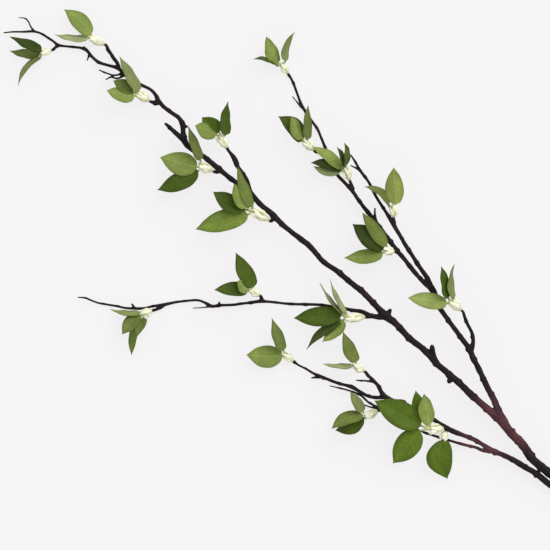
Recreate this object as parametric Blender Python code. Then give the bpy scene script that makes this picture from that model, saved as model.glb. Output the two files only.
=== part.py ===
"""A cut leafy branch that lies flat: one crooked woody stem with its forks, twigs and spurs, a cream bud
collar on the end of each leafy twig, and a whorl of small pointed leaves out of each collar.

Places are written in plan millimetres: x runs right and y runs down over the branch as seen from above,
and z is the height over the surface. place() turns them into the part's frame, where the cut end points to +X.
"""

from math import cos, log, pi, radians, sin
from typing import NamedTuple

import bmesh
import bpy
from mathutils import Matrix, Vector

MM = 0.001
PLAN_MIDDLE_X = 373.8
PLAN_MIDDLE_Y = 328.5
PLAN_TURN = radians(40.0)

SEAT_GAP = 0.3

WOOD_SIDES = 7
BRANCH_SIDES = 6
TWIG_SIDES = 5
SURFACE_REACH = 1000.0
SURFACE_DEPTH = 20.0

COLLAR_SIDES = 6
COLLAR_NECK = 3.4
SEAT_LENGTH = 2.4
COLLAR_PROFILE = ((0.26, 0.72), (0.58, 1.0), (0.86, 0.94), (1.0, 0.74))
LOBE_SIDES = 4
LOBE_WIDTH = 2.7
LOBE_LENGTH = 7.0
LOBE_PROFILE = ((0.0, 0.7), (0.6, 1.0), (1.0, 0.35))
LOBE_LEAN = 1.3
LOBE_ROOTED = 0.55
LOBE_SUNK = 0.2
LOBE_COUNT = 3
LOBE_CLEAR = radians(48.0)
LOBE_STEPS = 24
LOBE_BETTER = 0.001

HUB_LENGTH = 2.4
HUB_WIDTH = 2.2
STALK_WIDTH = 1.4
STALK_THICKNESS = 1.3

BLADE_THICKNESS = 0.75
BLADE_FOLD = radians(14.0)
BLADE_ARCH = 0.05
BLADE_OUTLINE = ((0.1, 0.62), (0.38, 1.0), (0.65, 0.87), (0.86, 0.41), (1.0, 0.0))
FLAT_PEAK = 0.4
PEAK_DROP = 0.0024


class Leaf(NamedTuple):
    """One leaf: where its blade begins and ends, its full width, its roll in degrees, how far its midrib
    bows to the left, and the side on top."""

    base: tuple
    tip: tuple
    width: float
    roll: float
    bend: float
    side: str


class Whorl(NamedTuple):
    """A twig, the bud collar from its end to the collar's mouth, and the leaves out of that mouth."""

    twig: tuple
    root: tuple
    mouth: tuple
    girth: float
    leaves: tuple


# Stems, as (x, y, z, thickness) points from the thick end to the thin one.
TRUNK = (
    (735, 637, 4.4, 10.6), (712, 618, 4.4, 10.4), (690, 598, 4.4, 10.2), (668, 579, 4.9, 10.0),
    (640, 554, 6.5, 10.0), (600, 518, 8.5, 9.8), (578, 498.4, 9.5, 10.2), (563, 484.6, 10.2, 9.4),
    (549, 472.7, 10.8, 9.0), (535.7, 462.2, 11.2, 9.0), (521.4, 443.2, 12.0, 9.6),
    (510.6, 432.4, 12.5, 9.0), (500.6, 420.2, 13.0, 10.2), (486.8, 408.3, 13.6, 7.6),
    (470.7, 394, 14.2, 7.2), (455, 379.2, 14.6, 7.0), (436.6, 363.4, 15.2, 6.8), (423.6, 349.4, 15.6, 6.6),
    (409.6, 338.4, 16.0, 6.6), (396.6, 324.4, 16.3, 7.0), (386.6, 316.4, 16.5, 8.4),
    (374.6, 304.4, 16.6, 6.4), (362.6, 291.9, 16.6, 6.2), (350.6, 282.4, 16.6, 5.8),
    (337.5, 271.5, 16.6, 5.8), (324.4, 262.6, 16.6, 5.6), (308.1, 244.9, 16.5, 5.8),
    (299.1, 237.9, 16.5, 5.6), (284.1, 226, 16.3, 5.6), (273, 215.1, 16.0, 6.4), (259, 203, 15.8, 5.6),
    (249.3, 192.2, 15.6, 6.6), (239.6, 184.9, 15.5, 5.4), (230, 178, 15.3, 5.2), (216, 166.5, 15.0, 5.8),
    (203, 156, 14.6, 5.2), (190.5, 148.5, 14.2, 5.2), (184, 140, 14.0, 6.8), (183, 131, 13.7, 5.2),
    (182.5, 124, 13.4, 5.8), (179, 118, 13.0, 4.6), (172, 113, 12.5, 4.2), (163, 106, 11.9, 4.6),
    (158, 100, 11.3, 4.8), (155, 94, 10.8, 4.0), (150, 89, 10.4, 3.4), (144, 86, 10.0, 3.4),
    (137, 82.5, 9.4, 3.4), (126, 76, 8.4, 3.2), (118, 68, 7.5, 3.9), (107, 64.5, 6.4, 3.1),
    (98, 61.5, 5.4, 3.3), (91, 55.5, 4.2, 3.1), (86, 49.5, 3.0, 3.5), (80, 47, 2.0, 2.7),
    (71, 46, 0.9, 2.5), (62.5, 45, 0.9, 2.5), (57, 44, 1.1, 3.0), (52, 40, 1.5, 2.5), (46, 36, 2.0, 2.3),
    (37.5, 31.5, 2.7, 2.3), (32, 30.5, 3.2, 2.6), (22, 31, 4.2, 2.0), (13, 31, 5.2, 1.7), (3, 32, 6.2, 1.3),
)
UPPER_BRANCH = (
    (507, 425, 12.6, 6.2), (497.8, 409.1, 13.5, 7.4), (493.7, 399.4, 14.0, 6.8), (487.1, 386.5, 14.8, 6.4),
    (480.1, 371.5, 15.5, 6.2), (473.6, 358.5, 16.0, 6.4), (470.2, 350.8, 16.2, 6.8),
    (462, 338.8, 16.3, 5.4), (454.2, 328.2, 16.5, 5.2), (446.8, 317.7, 16.5, 5.2),
    (440.2, 308.6, 16.5, 5.4), (432.7, 290.5, 16.5, 6.0), (423.2, 281.7, 16.3, 5.0),
    (414.2, 271.7, 16.2, 5.0), (405.8, 260.9, 16.0, 5.0), (395.8, 249, 15.6, 5.4),
    (386.2, 236.1, 15.2, 5.0), (376.7, 223.6, 14.8, 5.0), (367.2, 211.1, 14.2, 4.8),
    (360.4, 202.4, 13.6, 4.2), (352.3, 190.8, 12.8, 4.4), (344.2, 181.9, 12.0, 4.0), (337, 174, 11.3, 3.8),
    (326, 149, 9.0, 3.5), (321.5, 138, 7.6, 3.3), (318, 129.5, 6.2, 3.3), (312, 120.5, 4.2, 3.0),
    (307.5, 114, 2.6, 3.0), (304, 108.5, 1.1, 3.5), (300.5, 101.5, 1.0, 2.9), (297, 92, 1.1, 2.9),
    (293.6, 83, 1.5, 3.1), (290.5, 76.5, 2.7, 2.9),
)
INNER_BRANCH = (
    (434.2, 293.3, 16.5, 5.2), (428.6, 280.2, 17.0, 5.0), (421, 268.8, 17.5, 5.0), (413, 256.8, 18.0, 4.8),
    (405.2, 244.7, 18.5, 4.8), (399.2, 234.3, 18.8, 4.5), (393.8, 225.3, 19.0, 4.9),
    (386.4, 213, 18.8, 3.8), (380, 203, 18.4, 3.4), (374, 193, 18.0, 3.4), (369, 182.5, 17.2, 3.2),
    (362.5, 173.6, 16.4, 3.4), (358.5, 167.5, 15.8, 3.1), (355.4, 162, 15.0, 2.7), (351, 155, 14.2, 1.6),
)
OUTER_TWIG = (
    (470.8, 352, 16.0, 5.0), (473.2, 340, 16.8, 4.3), (471.7, 332, 17.4, 4.1), (468.2, 325.5, 18.0, 3.9),
    (464.4, 316.4, 18.6, 3.7),
)
LEFT_BRANCH = (
    (388, 317, 16.4, 6.0), (379.5, 317, 16.0, 5.4), (370, 315.6, 15.5, 5.0), (363, 312, 15.0, 4.8),
    (351, 310, 14.5, 4.0), (343, 308.2, 14.0, 3.9), (334, 307, 13.6, 3.6), (321.5, 305, 13.0, 3.6),
    (309, 304.4, 12.4, 3.3), (289.5, 304, 11.4, 3.3), (271, 302, 10.2, 3.1), (262, 301.4, 9.8, 4.0),
    (248, 303, 8.8, 3.2), (231.5, 305, 7.6, 3.2), (219, 305.5, 6.6, 3.3), (211.6, 306.3, 6.0, 3.8),
    (206, 303.5, 5.5, 3.2), (200, 300.7, 4.9, 2.9), (186, 301, 3.6, 2.8), (173.6, 302.6, 2.3, 2.9),
    (163, 305, 1.5, 4.2), (153, 306.3, 1.0, 2.9), (142, 308.4, 1.0, 2.7), (133.5, 308.6, 1.1, 3.1),
    (124, 308, 1.7, 2.5), (116.4, 306.3, 2.4, 2.5), (107, 304.7, 3.1, 2.5), (97.4, 303, 3.9, 2.3),
    (90.7, 300.5, 4.5, 2.1), (84, 297.8, 5.1, 1.9), (77.5, 297.4, 5.6, 1.3),
)
LOWER_BRANCH = (
    (582, 505, 9.2, 6.8), (563.6, 493, 9.0, 7.2), (549.6, 484.3, 9.4, 7.0), (536.5, 474, 9.8, 6.6),
    (523.3, 466.3, 10.0, 6.4), (509.9, 458.3, 10.4, 5.8), (498.3, 453.3, 10.8, 5.8),
    (490.3, 450, 11.0, 6.6), (483.5, 445.2, 11.2, 5.2), (471.7, 438.8, 11.6, 4.9),
    (455.5, 432.3, 12.0, 5.3), (445.5, 427.5, 12.4, 5.6), (436.7, 421.6, 12.4, 4.6),
    (423, 413.8, 12.0, 4.4), (409, 407.2, 11.6, 4.4), (403, 402.5, 11.4, 4.9), (394, 401, 11.2, 4.4),
    (384, 395.5, 11.0, 5.2), (377.5, 385, 11.8, 4.0), (372.5, 379.5, 12.3, 4.0), (367.3, 374.4, 12.9, 3.5),
)
LOWER_LEFT_TWIG = (
    (386, 396.8, 10.8, 4.2), (376.5, 397.8, 10.6, 4.1), (367, 395.8, 10.2, 3.8), (360, 391.8, 9.7, 4.0),
    (352, 387.2, 9.2, 4.3), (343.6, 385, 8.8, 3.7), (335.4, 382.5, 8.4, 3.6), (327, 379.2, 8.0, 3.5),
    (319.6, 376.5, 7.6, 4.1), (313.5, 373.5, 7.3, 3.2), (306, 369, 7.0, 2.8), (298, 365, 6.9, 2.7),
)
BARE_TWIG = (
    (491.3, 451, 10.6, 4.6), (483.6, 450.8, 10.2, 3.9), (477, 448.2, 9.6, 3.6), (464, 444.9, 8.6, 3.4),
    (449, 440.7, 7.4, 3.2), (434, 436, 6.4, 3.0), (425, 433, 6.0, 2.8), (417.5, 430, 5.8, 2.2),
)
CROSSING_TWIG = (
    (404, 404, 11.0, 3.2), (391, 407.5, 10.0, 2.9), (379, 407.3, 9.4, 2.7), (370, 403.5, 9.0, 2.7),
    (360.7, 395.5, 8.0, 2.7), (350.5, 391.2, 7.2, 2.4), (338, 388, 6.8, 2.0), (330, 386.2, 7.0, 1.3),
)
SPURS = (
    ((436.6, 363.4, 15.2, 4.0), (434, 355, 16.6, 5.0), (432, 347, 18.0, 5.2)),
    ((452.5, 377, 14.6, 5.6), (449.6, 381, 14.8, 5.2)),
    ((387, 316, 16.6, 6.2), (390, 310.5, 17.6, 4.0)),
    ((184.5, 140, 14.2, 5.8), (178.5, 135.7, 15.0, 5.3), (172, 129.5, 16.0, 4.6), (165.8, 124, 17.4, 3.4)),
    ((182, 125, 13.2, 4.2), (186.4, 126.5, 13.6, 3.0)),
    ((122, 73, 7.9, 2.6), (114, 74.8, 7.6, 2.3), (106, 72.6, 7.6, 2.1), (99, 69.6, 7.9, 1.6)),
    ((124, 75, 8.2, 2.6), (116, 78, 7.6, 2.3), (111, 76.4, 7.2, 2.1), (105.5, 79, 7.2, 1.6)),
    ((89, 53, 3.8, 2.6), (87.8, 56, 3.6, 2.0), (86.5, 59.5, 3.4, 1.3)),
    ((87, 50, 3.2, 2.8), (83.2, 46, 4.6, 1.9)),
    ((34, 30.8, 3.0, 2.2), (30, 26, 3.7, 2.0), (27.7, 20.8, 4.7, 1.8), (24, 17.4, 5.6, 1.6),
     (18, 17, 6.4, 1.1)),
    ((376.7, 223.6, 14.8, 3.6), (375, 216, 15.8, 3.0), (375, 208.5, 17.0, 1.9)),
    ((303.5, 108.5, 1.6, 2.4), (298, 102.5, 2.2, 2.0), (292.7, 96, 2.8, 1.2)),
    ((362, 172, 16.2, 2.8), (357, 168.7, 16.3, 2.4), (351, 165.5, 16.7, 1.6)),
    ((374.5, 382, 12.0, 3.0), (366, 381, 12.6, 2.4), (356.5, 380.5, 13.4, 1.6)),
    ((321, 377, 7.6, 3.2), (312, 378.2, 7.4, 2.0)),
    ((219, 306, 6.8, 3.0), (219, 302.4, 7.4, 1.8)),
    ((213, 306.3, 6.0, 2.6), (203, 307.6, 5.7, 1.7), (193, 308.2, 5.4, 1.1)),
    ((134.5, 309, 1.3, 2.8), (131.6, 304.5, 2.2, 2.4)),
    ((379, 409, 9.6, 2.4), (371, 407.5, 9.6, 2.2), (363.5, 404.8, 9.8, 1.5)),
)

# Whorls, from the trunk's tip to the cut end.
WHORLS = (
    Whorl(
        ((58.5, 44.5, 1.3, 3), (54.5, 46.6, 2.2, 3)),
        (50.6, 49.2, 3.5), (43, 52, 7.0), 6.6, (
            Leaf((40.8, 49.3), (9.5, 36.5, 19), 17, 52, 2.5, "upper"),
            Leaf((39.2, 52.6), (8.5, 50.3, 10), 15, -52, 0, "upper"),
            Leaf((39.6, 56.8), (17.5, 85.7, 9), 11, 52, -3, "upper"),
        ),
    ),
    Whorl(
        ((118.5, 69, 7.5, 4.2), (117, 62.5, 7.6, 4.0), (113.5, 58, 7.8, 4.4), (110.7, 53.5, 8.0, 4.0),
         (107.3, 48.5, 8.3, 4.2)),
        (103.6, 43.9, 8.7), (92.6, 38.5, 10.5), 8.0, (
            Leaf((90.8, 33.8), (64, 9.5, 18), 19, 22, -3, "under"),
            Leaf((87.6, 37.2), (54, 34, 12), 14, 56, 0, "under"),
        ),
    ),
    Whorl(
        ((159, 103, 11.4, 4.2), (154, 102.2, 11.0, 4.2)),
        (149.1, 100.4, 11.1), (139.6, 94.8, 13.5), 9.0, (
            Leaf((138.6, 90.6), (119.5, 56, 24), 18, 52, 2.5, "upper"),
            Leaf((134, 96), (107, 91, 30), 17, 25, 0, "under"),
            Leaf((132.5, 91.5), (113, 80.5, 18), 15, 20, 0, "upper"),
        ),
    ),
    Whorl(
        ((220, 169.5, 15.2, 4.4), (216.5, 172, 17.0, 4.2)),
        (212.4, 171, 18.8), (202, 166.5, 22), 9.2, (
            Leaf((200.6, 159.5), (188.5, 125.5, 36), 17, 55, 3, "upper"),
            Leaf((196.8, 167.2), (160, 157.3, 21), 25, 12, 0, "under"),
            Leaf((198, 171.5), (157, 190, 15), 22, 25, 3, "upper"),
        ),
    ),
    Whorl(
        ((250, 192.4, 15.6, 4.8), (247, 180, 16.0, 4), (241.5, 171.5, 16.4, 4), (237.5, 166, 16.7, 4.8),
         (234.4, 158.6, 17.0, 6), (230.5, 153, 17.2, 4)),
        (226.8, 147.9, 17.6), (221, 139, 19.5), 8.4, (
            Leaf((226, 134.8), (228.5, 101.5, 30), 17, 50, 4, "upper"),
            Leaf((216.3, 134.8), (195.5, 126, 38), 17, 15, 0, "under"),
            Leaf((219.2, 131.9), (202, 117.5, 27), 18, -10, 0, "upper"),
        ),
    ),
    Whorl(
        ((274.7, 216.2, 16.0, 4.6), (272.5, 219.5, 16.8, 4.2)),
        (268.9, 219.9, 17.4), (254.6, 212, 20.5), 9.8, (
            Leaf((252.3, 206.4), (238, 167, 44), 16, 42, 0, "under"),
            Leaf((246.5, 207.3), (234, 184, 42), 17, 30, 0, "under"),
            Leaf((244.5, 209.4), (213, 191.7, 26), 20, 15, 2.5, "upper"),
            Leaf((247.6, 214.8), (195.3, 229.5, 15), 23, 12, 0, "upper"),
        ),
    ),
    Whorl(
        ((464.6, 317.4, 18.5, 3.7),),
        (460.8, 310, 19.2), (452, 302.5, 22), 9.0, (
            Leaf((446.6, 303.3), (407, 297.6, 36), 17.5, 16, -1, "under"),
            Leaf((447.6, 297.4), (440.3, 265.6, 38), 17, 50, 2, "upper"),
            Leaf((453.9, 297.6), (454, 263.5, 34), 15, 62, 1.5, "under"),
        ),
    ),
    Whorl(
        ((394, 225.5, 19.0, 4), (393.9, 220.5, 19.2, 3.9)),
        (393.8, 217.1, 19.6), (393.6, 208.4, 21.5), 8.4, (
            Leaf((396.2, 204.2), (393.5, 167.6, 30), 20, 15, 0, "under"),
            Leaf((389, 205.8), (363.6, 187.2, 36), 16, 55, -3.5, "upper"),
        ),
    ),
    Whorl(
        ((326.5, 150, 9.2, 3.2), (319, 152, 9.2, 3.2)),
        (313.8, 149.8, 9.6), (306.4, 143, 12), 8.4, (
            Leaf((301.8, 140.6), (278, 116.5, 20), 18, 12, -4, "upper"),
            Leaf((302.4, 138.2), (291, 117, 31), 16, 30, 0, "under"),
            Leaf((308, 138.8), (308, 105, 27), 13, 45, 2.5, "upper"),
        ),
    ),
    Whorl(
        ((353, 191.2, 12.8, 3.7), (351.8, 185.5, 12.6, 3.7)),
        (349.5, 179.8, 13.4), (346, 170.8, 16), 8.4, (
            Leaf((342, 166.8), (311.7, 147, 25), 17, 42, -3.5, "under"),
            Leaf((340.6, 169.8), (310.5, 163, 23), 12, 20, -2, "upper"),
            Leaf((340.2, 171.6), (313, 165.8, 17), 9, 15, 2.5, "under"),
            Leaf((346, 165.4), (344, 143, 38), 14, 60, 0, "upper"),
            Leaf((343.6, 165.4), (336.5, 147.3, 33), 12, 58, 0, "upper"),
        ),
    ),
    Whorl(
        ((291, 77.4, 2.6, 3),),
        (287.8, 72.7, 4.3), (283, 65.6, 7), 7.6, (
            Leaf((277.8, 62.6), (266.3, 36.3, 21), 17, 35, 0, "under"),
            Leaf((277, 65), (253, 59.4, 23), 12, 62, -1.5, "upper"),
            Leaf((286, 60), (295.5, 31.5, 18), 15, 62, 2, "under"),
        ),
    ),
    Whorl(
        ((397.6, 250.6, 15.8, 3.8),),
        (394.2, 251.4, 18.4), (387.2, 250.9, 21), 8.2, (
            Leaf((386.4, 245.6), (361.8, 212.8, 34), 15.5, 24, -1, "under"),
            Leaf((382.6, 249.6), (352.3, 224, 25), 21, 12, 0, "upper"),
            Leaf((382.4, 253.3), (343.8, 257.8, 16), 17, 25, 0, "under"),
        ),
    ),
    Whorl(
        ((163.5, 305.5, 1.7, 3.4), (156.5, 309.3, 2.8, 3.4)),
        (151.4, 311, 4.2), (144, 313.4, 6.8), 8.0, (
            Leaf((139.5, 317), (131, 356, 6), 18, 52, 0, "upper"),
            Leaf((138, 315), (121.8, 334.5, 14), 16, 20, 0, "upper"),
            Leaf((143.3, 318.3), (137, 336.8, 21), 13, 32, 0, "upper"),
            Leaf((138.5, 312.2), (109, 309.3, 13), 13, 64, 0, "under"),
        ),
    ),
    Whorl(
        ((262, 302, 9.8, 3.7), (261.6, 298.9, 10.2, 3.7)),
        (259.1, 295.6, 11.1), (252.6, 291, 13.5), 8.4, (
            Leaf((253.6, 286.6), (235.8, 252.5, 24), 19, 25, 2.5, "upper"),
            Leaf((247.2, 290.2), (214, 290, 20), 17, 30, 0, "upper"),
            Leaf((248.4, 290.6), (237.5, 281, 32), 13, 25, 0, "under"),
        ),
    ),
    Whorl(
        ((371.5, 315.4, 15.3, 4.4),),
        (364.6, 317.2, 17.8), (348, 318, 21.2), 9.0, (
            Leaf((341, 314.6), (293.5, 318, 19), 21, 10, 1, "upper"),
            Leaf((340.6, 321.5), (306.3, 350.3, 11), 17, 57, -1.5, "upper"),
            Leaf((343, 320.3), (322, 342, 26), 17, 38, 0, "under"),
            Leaf((343.4, 312.2), (319.2, 281.8, 36), 13, 70, 0, "under"),
            Leaf((346, 311.6), (329.8, 279, 40), 13, 66, 0, "under"),
        ),
    ),
    Whorl(
        ((448.6, 428.4, 12.2, 4.2),),
        (443.2, 428.3, 17.4), (432.5, 429, 21), 9.0, (
            Leaf((420.4, 425.4), (374, 400.3, 28), 28, 8, 0, "upper"),
            Leaf((419.3, 431), (393, 463.5, 16), 26, 6, 0, "upper"),
            Leaf((421.8, 419.4), (415.6, 390.3, 22), 16, 22, 1.5, "upper"),
            Leaf((429.4, 424), (423.4, 393, 34), 18, 24, 0, "under"),
        ),
    ),
    Whorl(
        ((446.6, 426.6, 12.4, 3.8),),
        (446, 431, 12.5), (444.2, 436.4, 13), 7.0, (
            Leaf((442.9, 440), (448, 479.4, 8), 27, 5, -5.5, "upper"),
        ),
    ),
    Whorl(
        ((367.3, 374.4, 12.9, 3.6),),
        (364, 371.3, 13.5), (356.5, 366.5, 15.5), 8.0, (
            Leaf((356, 362), (343.2, 331.5, 22), 17, 35, 3, "upper"),
            Leaf((351.8, 365), (321.8, 363.4, 22), 13, 66, 0, "under"),
        ),
    ),
    Whorl(
        ((386, 407.4, 9.8, 3.2), (381.8, 409.8, 10.0, 3.2)),
        (377.7, 411.5, 11.0), (367.8, 415.5, 14), 8.4, (
            Leaf((362, 414.6), (331.3, 429, 23), 16, 30, -4.5, "under"),
            Leaf((363, 411.6), (350, 391, 20), 14, 40, 1.5, "upper"),
            Leaf((363.9, 418.5), (335, 430.5, 9), 17, 22, 4, "upper"),
        ),
    ),
    Whorl(
        ((298.5, 365.2, 6.9, 3.2),),
        (293, 361.3, 6.9), (286.4, 355.8, 9), 8.4, (
            Leaf((282.4, 356), (246.3, 354.8, 15), 23.5, 8, 1, "under"),
            Leaf((283.2, 350.4), (271.8, 317.8, 22), 17, 45, 2.5, "upper"),
        ),
    ),
)


def place(x, y, z):
    """Plan millimetres as a point of the part's frame, in metres."""
    right = x - PLAN_MIDDLE_X
    back = PLAN_MIDDLE_Y - y
    turned_x = right * cos(PLAN_TURN) - back * sin(PLAN_TURN)
    turned_y = right * sin(PLAN_TURN) + back * cos(PLAN_TURN)
    return Vector((turned_x, turned_y, z)) * MM


def material(name, colour, roughness):
    """A Principled material of one colour."""
    made = bpy.data.materials.new(name)
    made.use_nodes = True
    shader = made.node_tree.nodes["Principled BSDF"]
    shader.inputs["Base Color"].default_value = (*colour, 1.0)
    shader.inputs["Roughness"].default_value = roughness
    shader.inputs["Metallic"].default_value = 0.0
    return made


def object_of(name, points, faces):
    """An object of one closed mesh, its faces turned out and split into triangles."""
    mesh = bpy.data.meshes.new(name)
    mesh.from_pydata(points, [], faces)
    shape = bmesh.new()
    shape.from_mesh(mesh)
    bmesh.ops.recalc_face_normals(shape, faces=shape.faces)
    bmesh.ops.triangulate(shape, faces=shape.faces)
    shape.to_mesh(mesh)
    shape.free()
    made = bpy.data.objects.new(name, mesh)
    bpy.context.scene.collection.objects.link(made)
    return made


def tube(centres, widths, sides):
    """A closed tube through the centres, of the given width at each, with flat ends."""
    along = (centres[1] - centres[0]).normalized()
    across = along.cross(Vector((0, 0, 1))).normalized()
    points = []
    last = len(centres) - 1
    for index, (centre, width) in enumerate(zip(centres, widths)):
        ahead = centres[min(index + 1, last)] - centres[max(index - 1, 0)]
        along = ahead.normalized()
        across = (across - along * across.dot(along)).normalized()
        up = across.cross(along)
        for side in range(sides):
            angle = 2 * pi * (side + 0.5) / sides
            points.append(centre + (across * cos(angle) + up * sin(angle)) * width / 2)
    faces = [list(range(sides)), list(range(last * sides, (last + 1) * sides))]
    for ring in range(last):
        for side in range(sides):
            here = ring * sides + side
            beside = ring * sides + (side + 1) % sides
            faces.append([here, beside, beside + sides, here + sides])
    return object_of("tube", points, faces)


def stem(route, sides):
    """A tapering crooked stem through (x, y, z, thickness) points."""
    return tube([place(*point[:3]) for point in route], [point[3] * MM for point in route], sides)


def twig(whorl):
    """A whorl's twig, which ends square on its collar's root."""
    root, mouth = place(*whorl.root), place(*whorl.mouth)
    ahead = (mouth - root).normalized()
    centres = [place(*point[:3]) for point in whorl.twig]
    widths = [point[3] * MM for point in whorl.twig]
    centres += [root - ahead * (SEAT_GAP + SEAT_LENGTH) * MM, root - ahead * SEAT_GAP * MM]
    return tube(centres, widths + [COLLAR_NECK * MM] * 2, TWIG_SIDES)


def fused(name, parts, finish, cutter=None):
    """One object out of overlapping parts, less the cutter; the parts are removed."""
    body = parts[0]
    body.name = name
    others = bpy.data.collections.new(name + "_parts")
    for part in parts[1:]:
        others.objects.link(part)
    join = body.modifiers.new("join", "BOOLEAN")
    join.operation = "UNION"
    join.operand_type = "COLLECTION"
    join.collection = others
    join.solver = "EXACT"
    if cutter:
        cut = body.modifiers.new("cut", "BOOLEAN")
        cut.operation = "DIFFERENCE"
        cut.object = cutter
        cut.solver = "EXACT"
    solid = bpy.data.meshes.new_from_object(body.evaluated_get(bpy.context.evaluated_depsgraph_get()))
    body.modifiers.clear()
    body.data = solid
    solid.name = name
    solid.materials.clear()
    solid.materials.append(finish)
    for part in parts[1:] + ([cutter] if cutter else []):
        bpy.data.objects.remove(part)
    bpy.data.collections.remove(others)
    return body


def wood(finish):
    """The whole woody stem, with low flats where it rests on the surface."""
    parts = [stem(TRUNK, WOOD_SIDES)]
    for branch in (UPPER_BRANCH, INNER_BRANCH, LEFT_BRANCH, LOWER_BRANCH):
        parts.append(stem(branch, BRANCH_SIDES))
    for branch in (OUTER_TWIG, LOWER_LEFT_TWIG, BARE_TWIG, CROSSING_TWIG, *SPURS):
        parts.append(stem(branch, TWIG_SIDES))
    parts.extend(twig(whorl) for whorl in WHORLS)
    span = (-SURFACE_REACH * MM, SURFACE_REACH * MM)
    corners = [(x, y, z) for x in span for y in span for z in (-SURFACE_DEPTH * MM, 0.0)]
    walls = [(0, 1, 3, 2), (4, 5, 7, 6), (0, 1, 5, 4), (2, 3, 7, 6), (0, 2, 6, 4), (1, 3, 7, 5)]
    return fused("wood", parts, finish, object_of("surface", corners, walls))


def stalk_line(whorl, leaf):
    """The hub's middle, the blade's base and the blade's tip."""
    root, mouth = place(*whorl.root), place(*whorl.mouth)
    hub = mouth + (mouth - root).normalized() * (SEAT_GAP + HUB_LENGTH / 2) * MM
    tip = place(*leaf.tip)
    base = place(*leaf.base, 0.0)
    reach = (base - hub).xy.length / ((base - hub).xy.length + (tip - base).xy.length)
    base.z = hub.z + (tip.z - hub.z) * reach
    return hub, base, tip


def square_to(along, left):
    """The left direction turned square to along, and the direction out of both."""
    left = (left - along * left.dot(along)).normalized()
    return left, along.cross(left)


def leaf_rows(hub, base, tip, leaf):
    """Rows across a stalk and its blade: middle, left, inner side, half width and half thickness.
    A rolled blade is widest nearer its base."""
    stalk = (base - hub).normalized()
    along = (tip - base).normalized()
    flat_left = Vector((0, 0, 1)).cross(along).normalized()
    left = Matrix.Rotation(radians(leaf.roll), 3, along) @ flat_left
    rows = []
    for middle, way in ((hub, stalk), (base, (stalk + along).normalized())):
        across, up = square_to(way, left)
        rows.append((middle, across, up, STALK_WIDTH * MM / 2, STALK_THICKNESS * MM / 2))
    up = along.cross(left)
    inner = up if leaf.side == "upper" else -up
    length = (tip - base).length
    shift = log(FLAT_PEAK - PEAK_DROP * abs(leaf.roll)) / log(FLAT_PEAK)
    for flat_share, spread in BLADE_OUTLINE:
        share = flat_share ** shift
        bow = 4 * share * (1 - share)
        middle = base + along * length * share
        middle += inner * BLADE_ARCH * length * bow + flat_left * leaf.bend * bow * MM
        rows.append((middle, left, up, spread * leaf.width * MM / 2, BLADE_THICKNESS * MM / 2))
    return rows


def leaf_body(hub, base, tip, leaf):
    """A stalk and a thin blade in one strip, folded along its midrib and arched along its length."""
    rows = leaf_rows(hub, base, tip, leaf)
    fold = BLADE_FOLD if leaf.side == "upper" else -BLADE_FOLD
    stalk_rows = 2
    last = len(rows) - 1
    top, under = [], []
    for index, (middle, left, up, half, skin) in enumerate(rows):
        bend = 0 if index < stalk_rows else fold
        lift = up * half * sin(bend)
        reach = left * half * cos(bend)
        row = [middle] if index == last else [middle + reach + lift, middle, middle - reach + lift]
        top.extend(point + up * skin for point in row)
        under.extend(point - up * skin for point in row)
    one_side = []
    for index in range(last - 1):
        here, ahead = index * 3, index * 3 + 3
        one_side += [(here, here + 1, ahead), (here + 1, ahead + 1, ahead)]
        one_side += [(here + 1, here + 2, ahead + 2), (here + 1, ahead + 2, ahead + 1)]
    end = last * 3
    one_side += [(end, end - 3, end - 2), (end, end - 2, end - 1)]
    below = len(top)
    faces = one_side + [tuple(corner + below for corner in face) for face in one_side]
    faces.append((0, 1, 2, 2 + below, 1 + below, below))
    rim = [index * 3 for index in range(last)] + [end] + [index * 3 + 2 for index in reversed(range(last))]
    for here, ahead in zip(rim, rim[1:]):
        faces.append((here, ahead, ahead + below, here + below))
    return object_of("leaf", top + under, faces)


def leaves(name, whorl, finish):
    """A whorl's hub and leaves as one body."""
    root, mouth = place(*whorl.root), place(*whorl.mouth)
    ahead = (mouth - root).normalized()
    ends = [mouth + ahead * SEAT_GAP * MM, mouth + ahead * (SEAT_GAP + HUB_LENGTH) * MM]
    parts = [tube(ends, [HUB_WIDTH * MM] * 2, TWIG_SIDES)]
    parts.extend(leaf_body(*stalk_line(whorl, leaf), leaf) for leaf in whorl.leaves)
    return fused(name, parts, finish)


def lobe_angles(whorl, ahead, across, up):
    """Angles round the collar's axis that lie furthest from the leaf stalks, widest gap first."""
    taken = []
    for leaf in whorl.leaves:
        hub, base, _ = stalk_line(whorl, leaf)
        out = (base - hub).normalized()
        taken.append(Vector((out.dot(across), out.dot(up))).normalized())
    chosen = []
    for _ in range(LOBE_COUNT):
        best = None
        for step in range(LOBE_STEPS):
            angle = 2 * pi * step / LOBE_STEPS
            way = Vector((cos(angle), sin(angle)))
            nearest = min(way.angle(other) for other in taken)
            if best is None or nearest > best[0] + LOBE_BETTER:
                best = (nearest, angle, way)
        if best[0] < LOBE_CLEAR:
            break
        chosen.append(best[1])
        taken.append(best[2])
    return chosen


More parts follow.
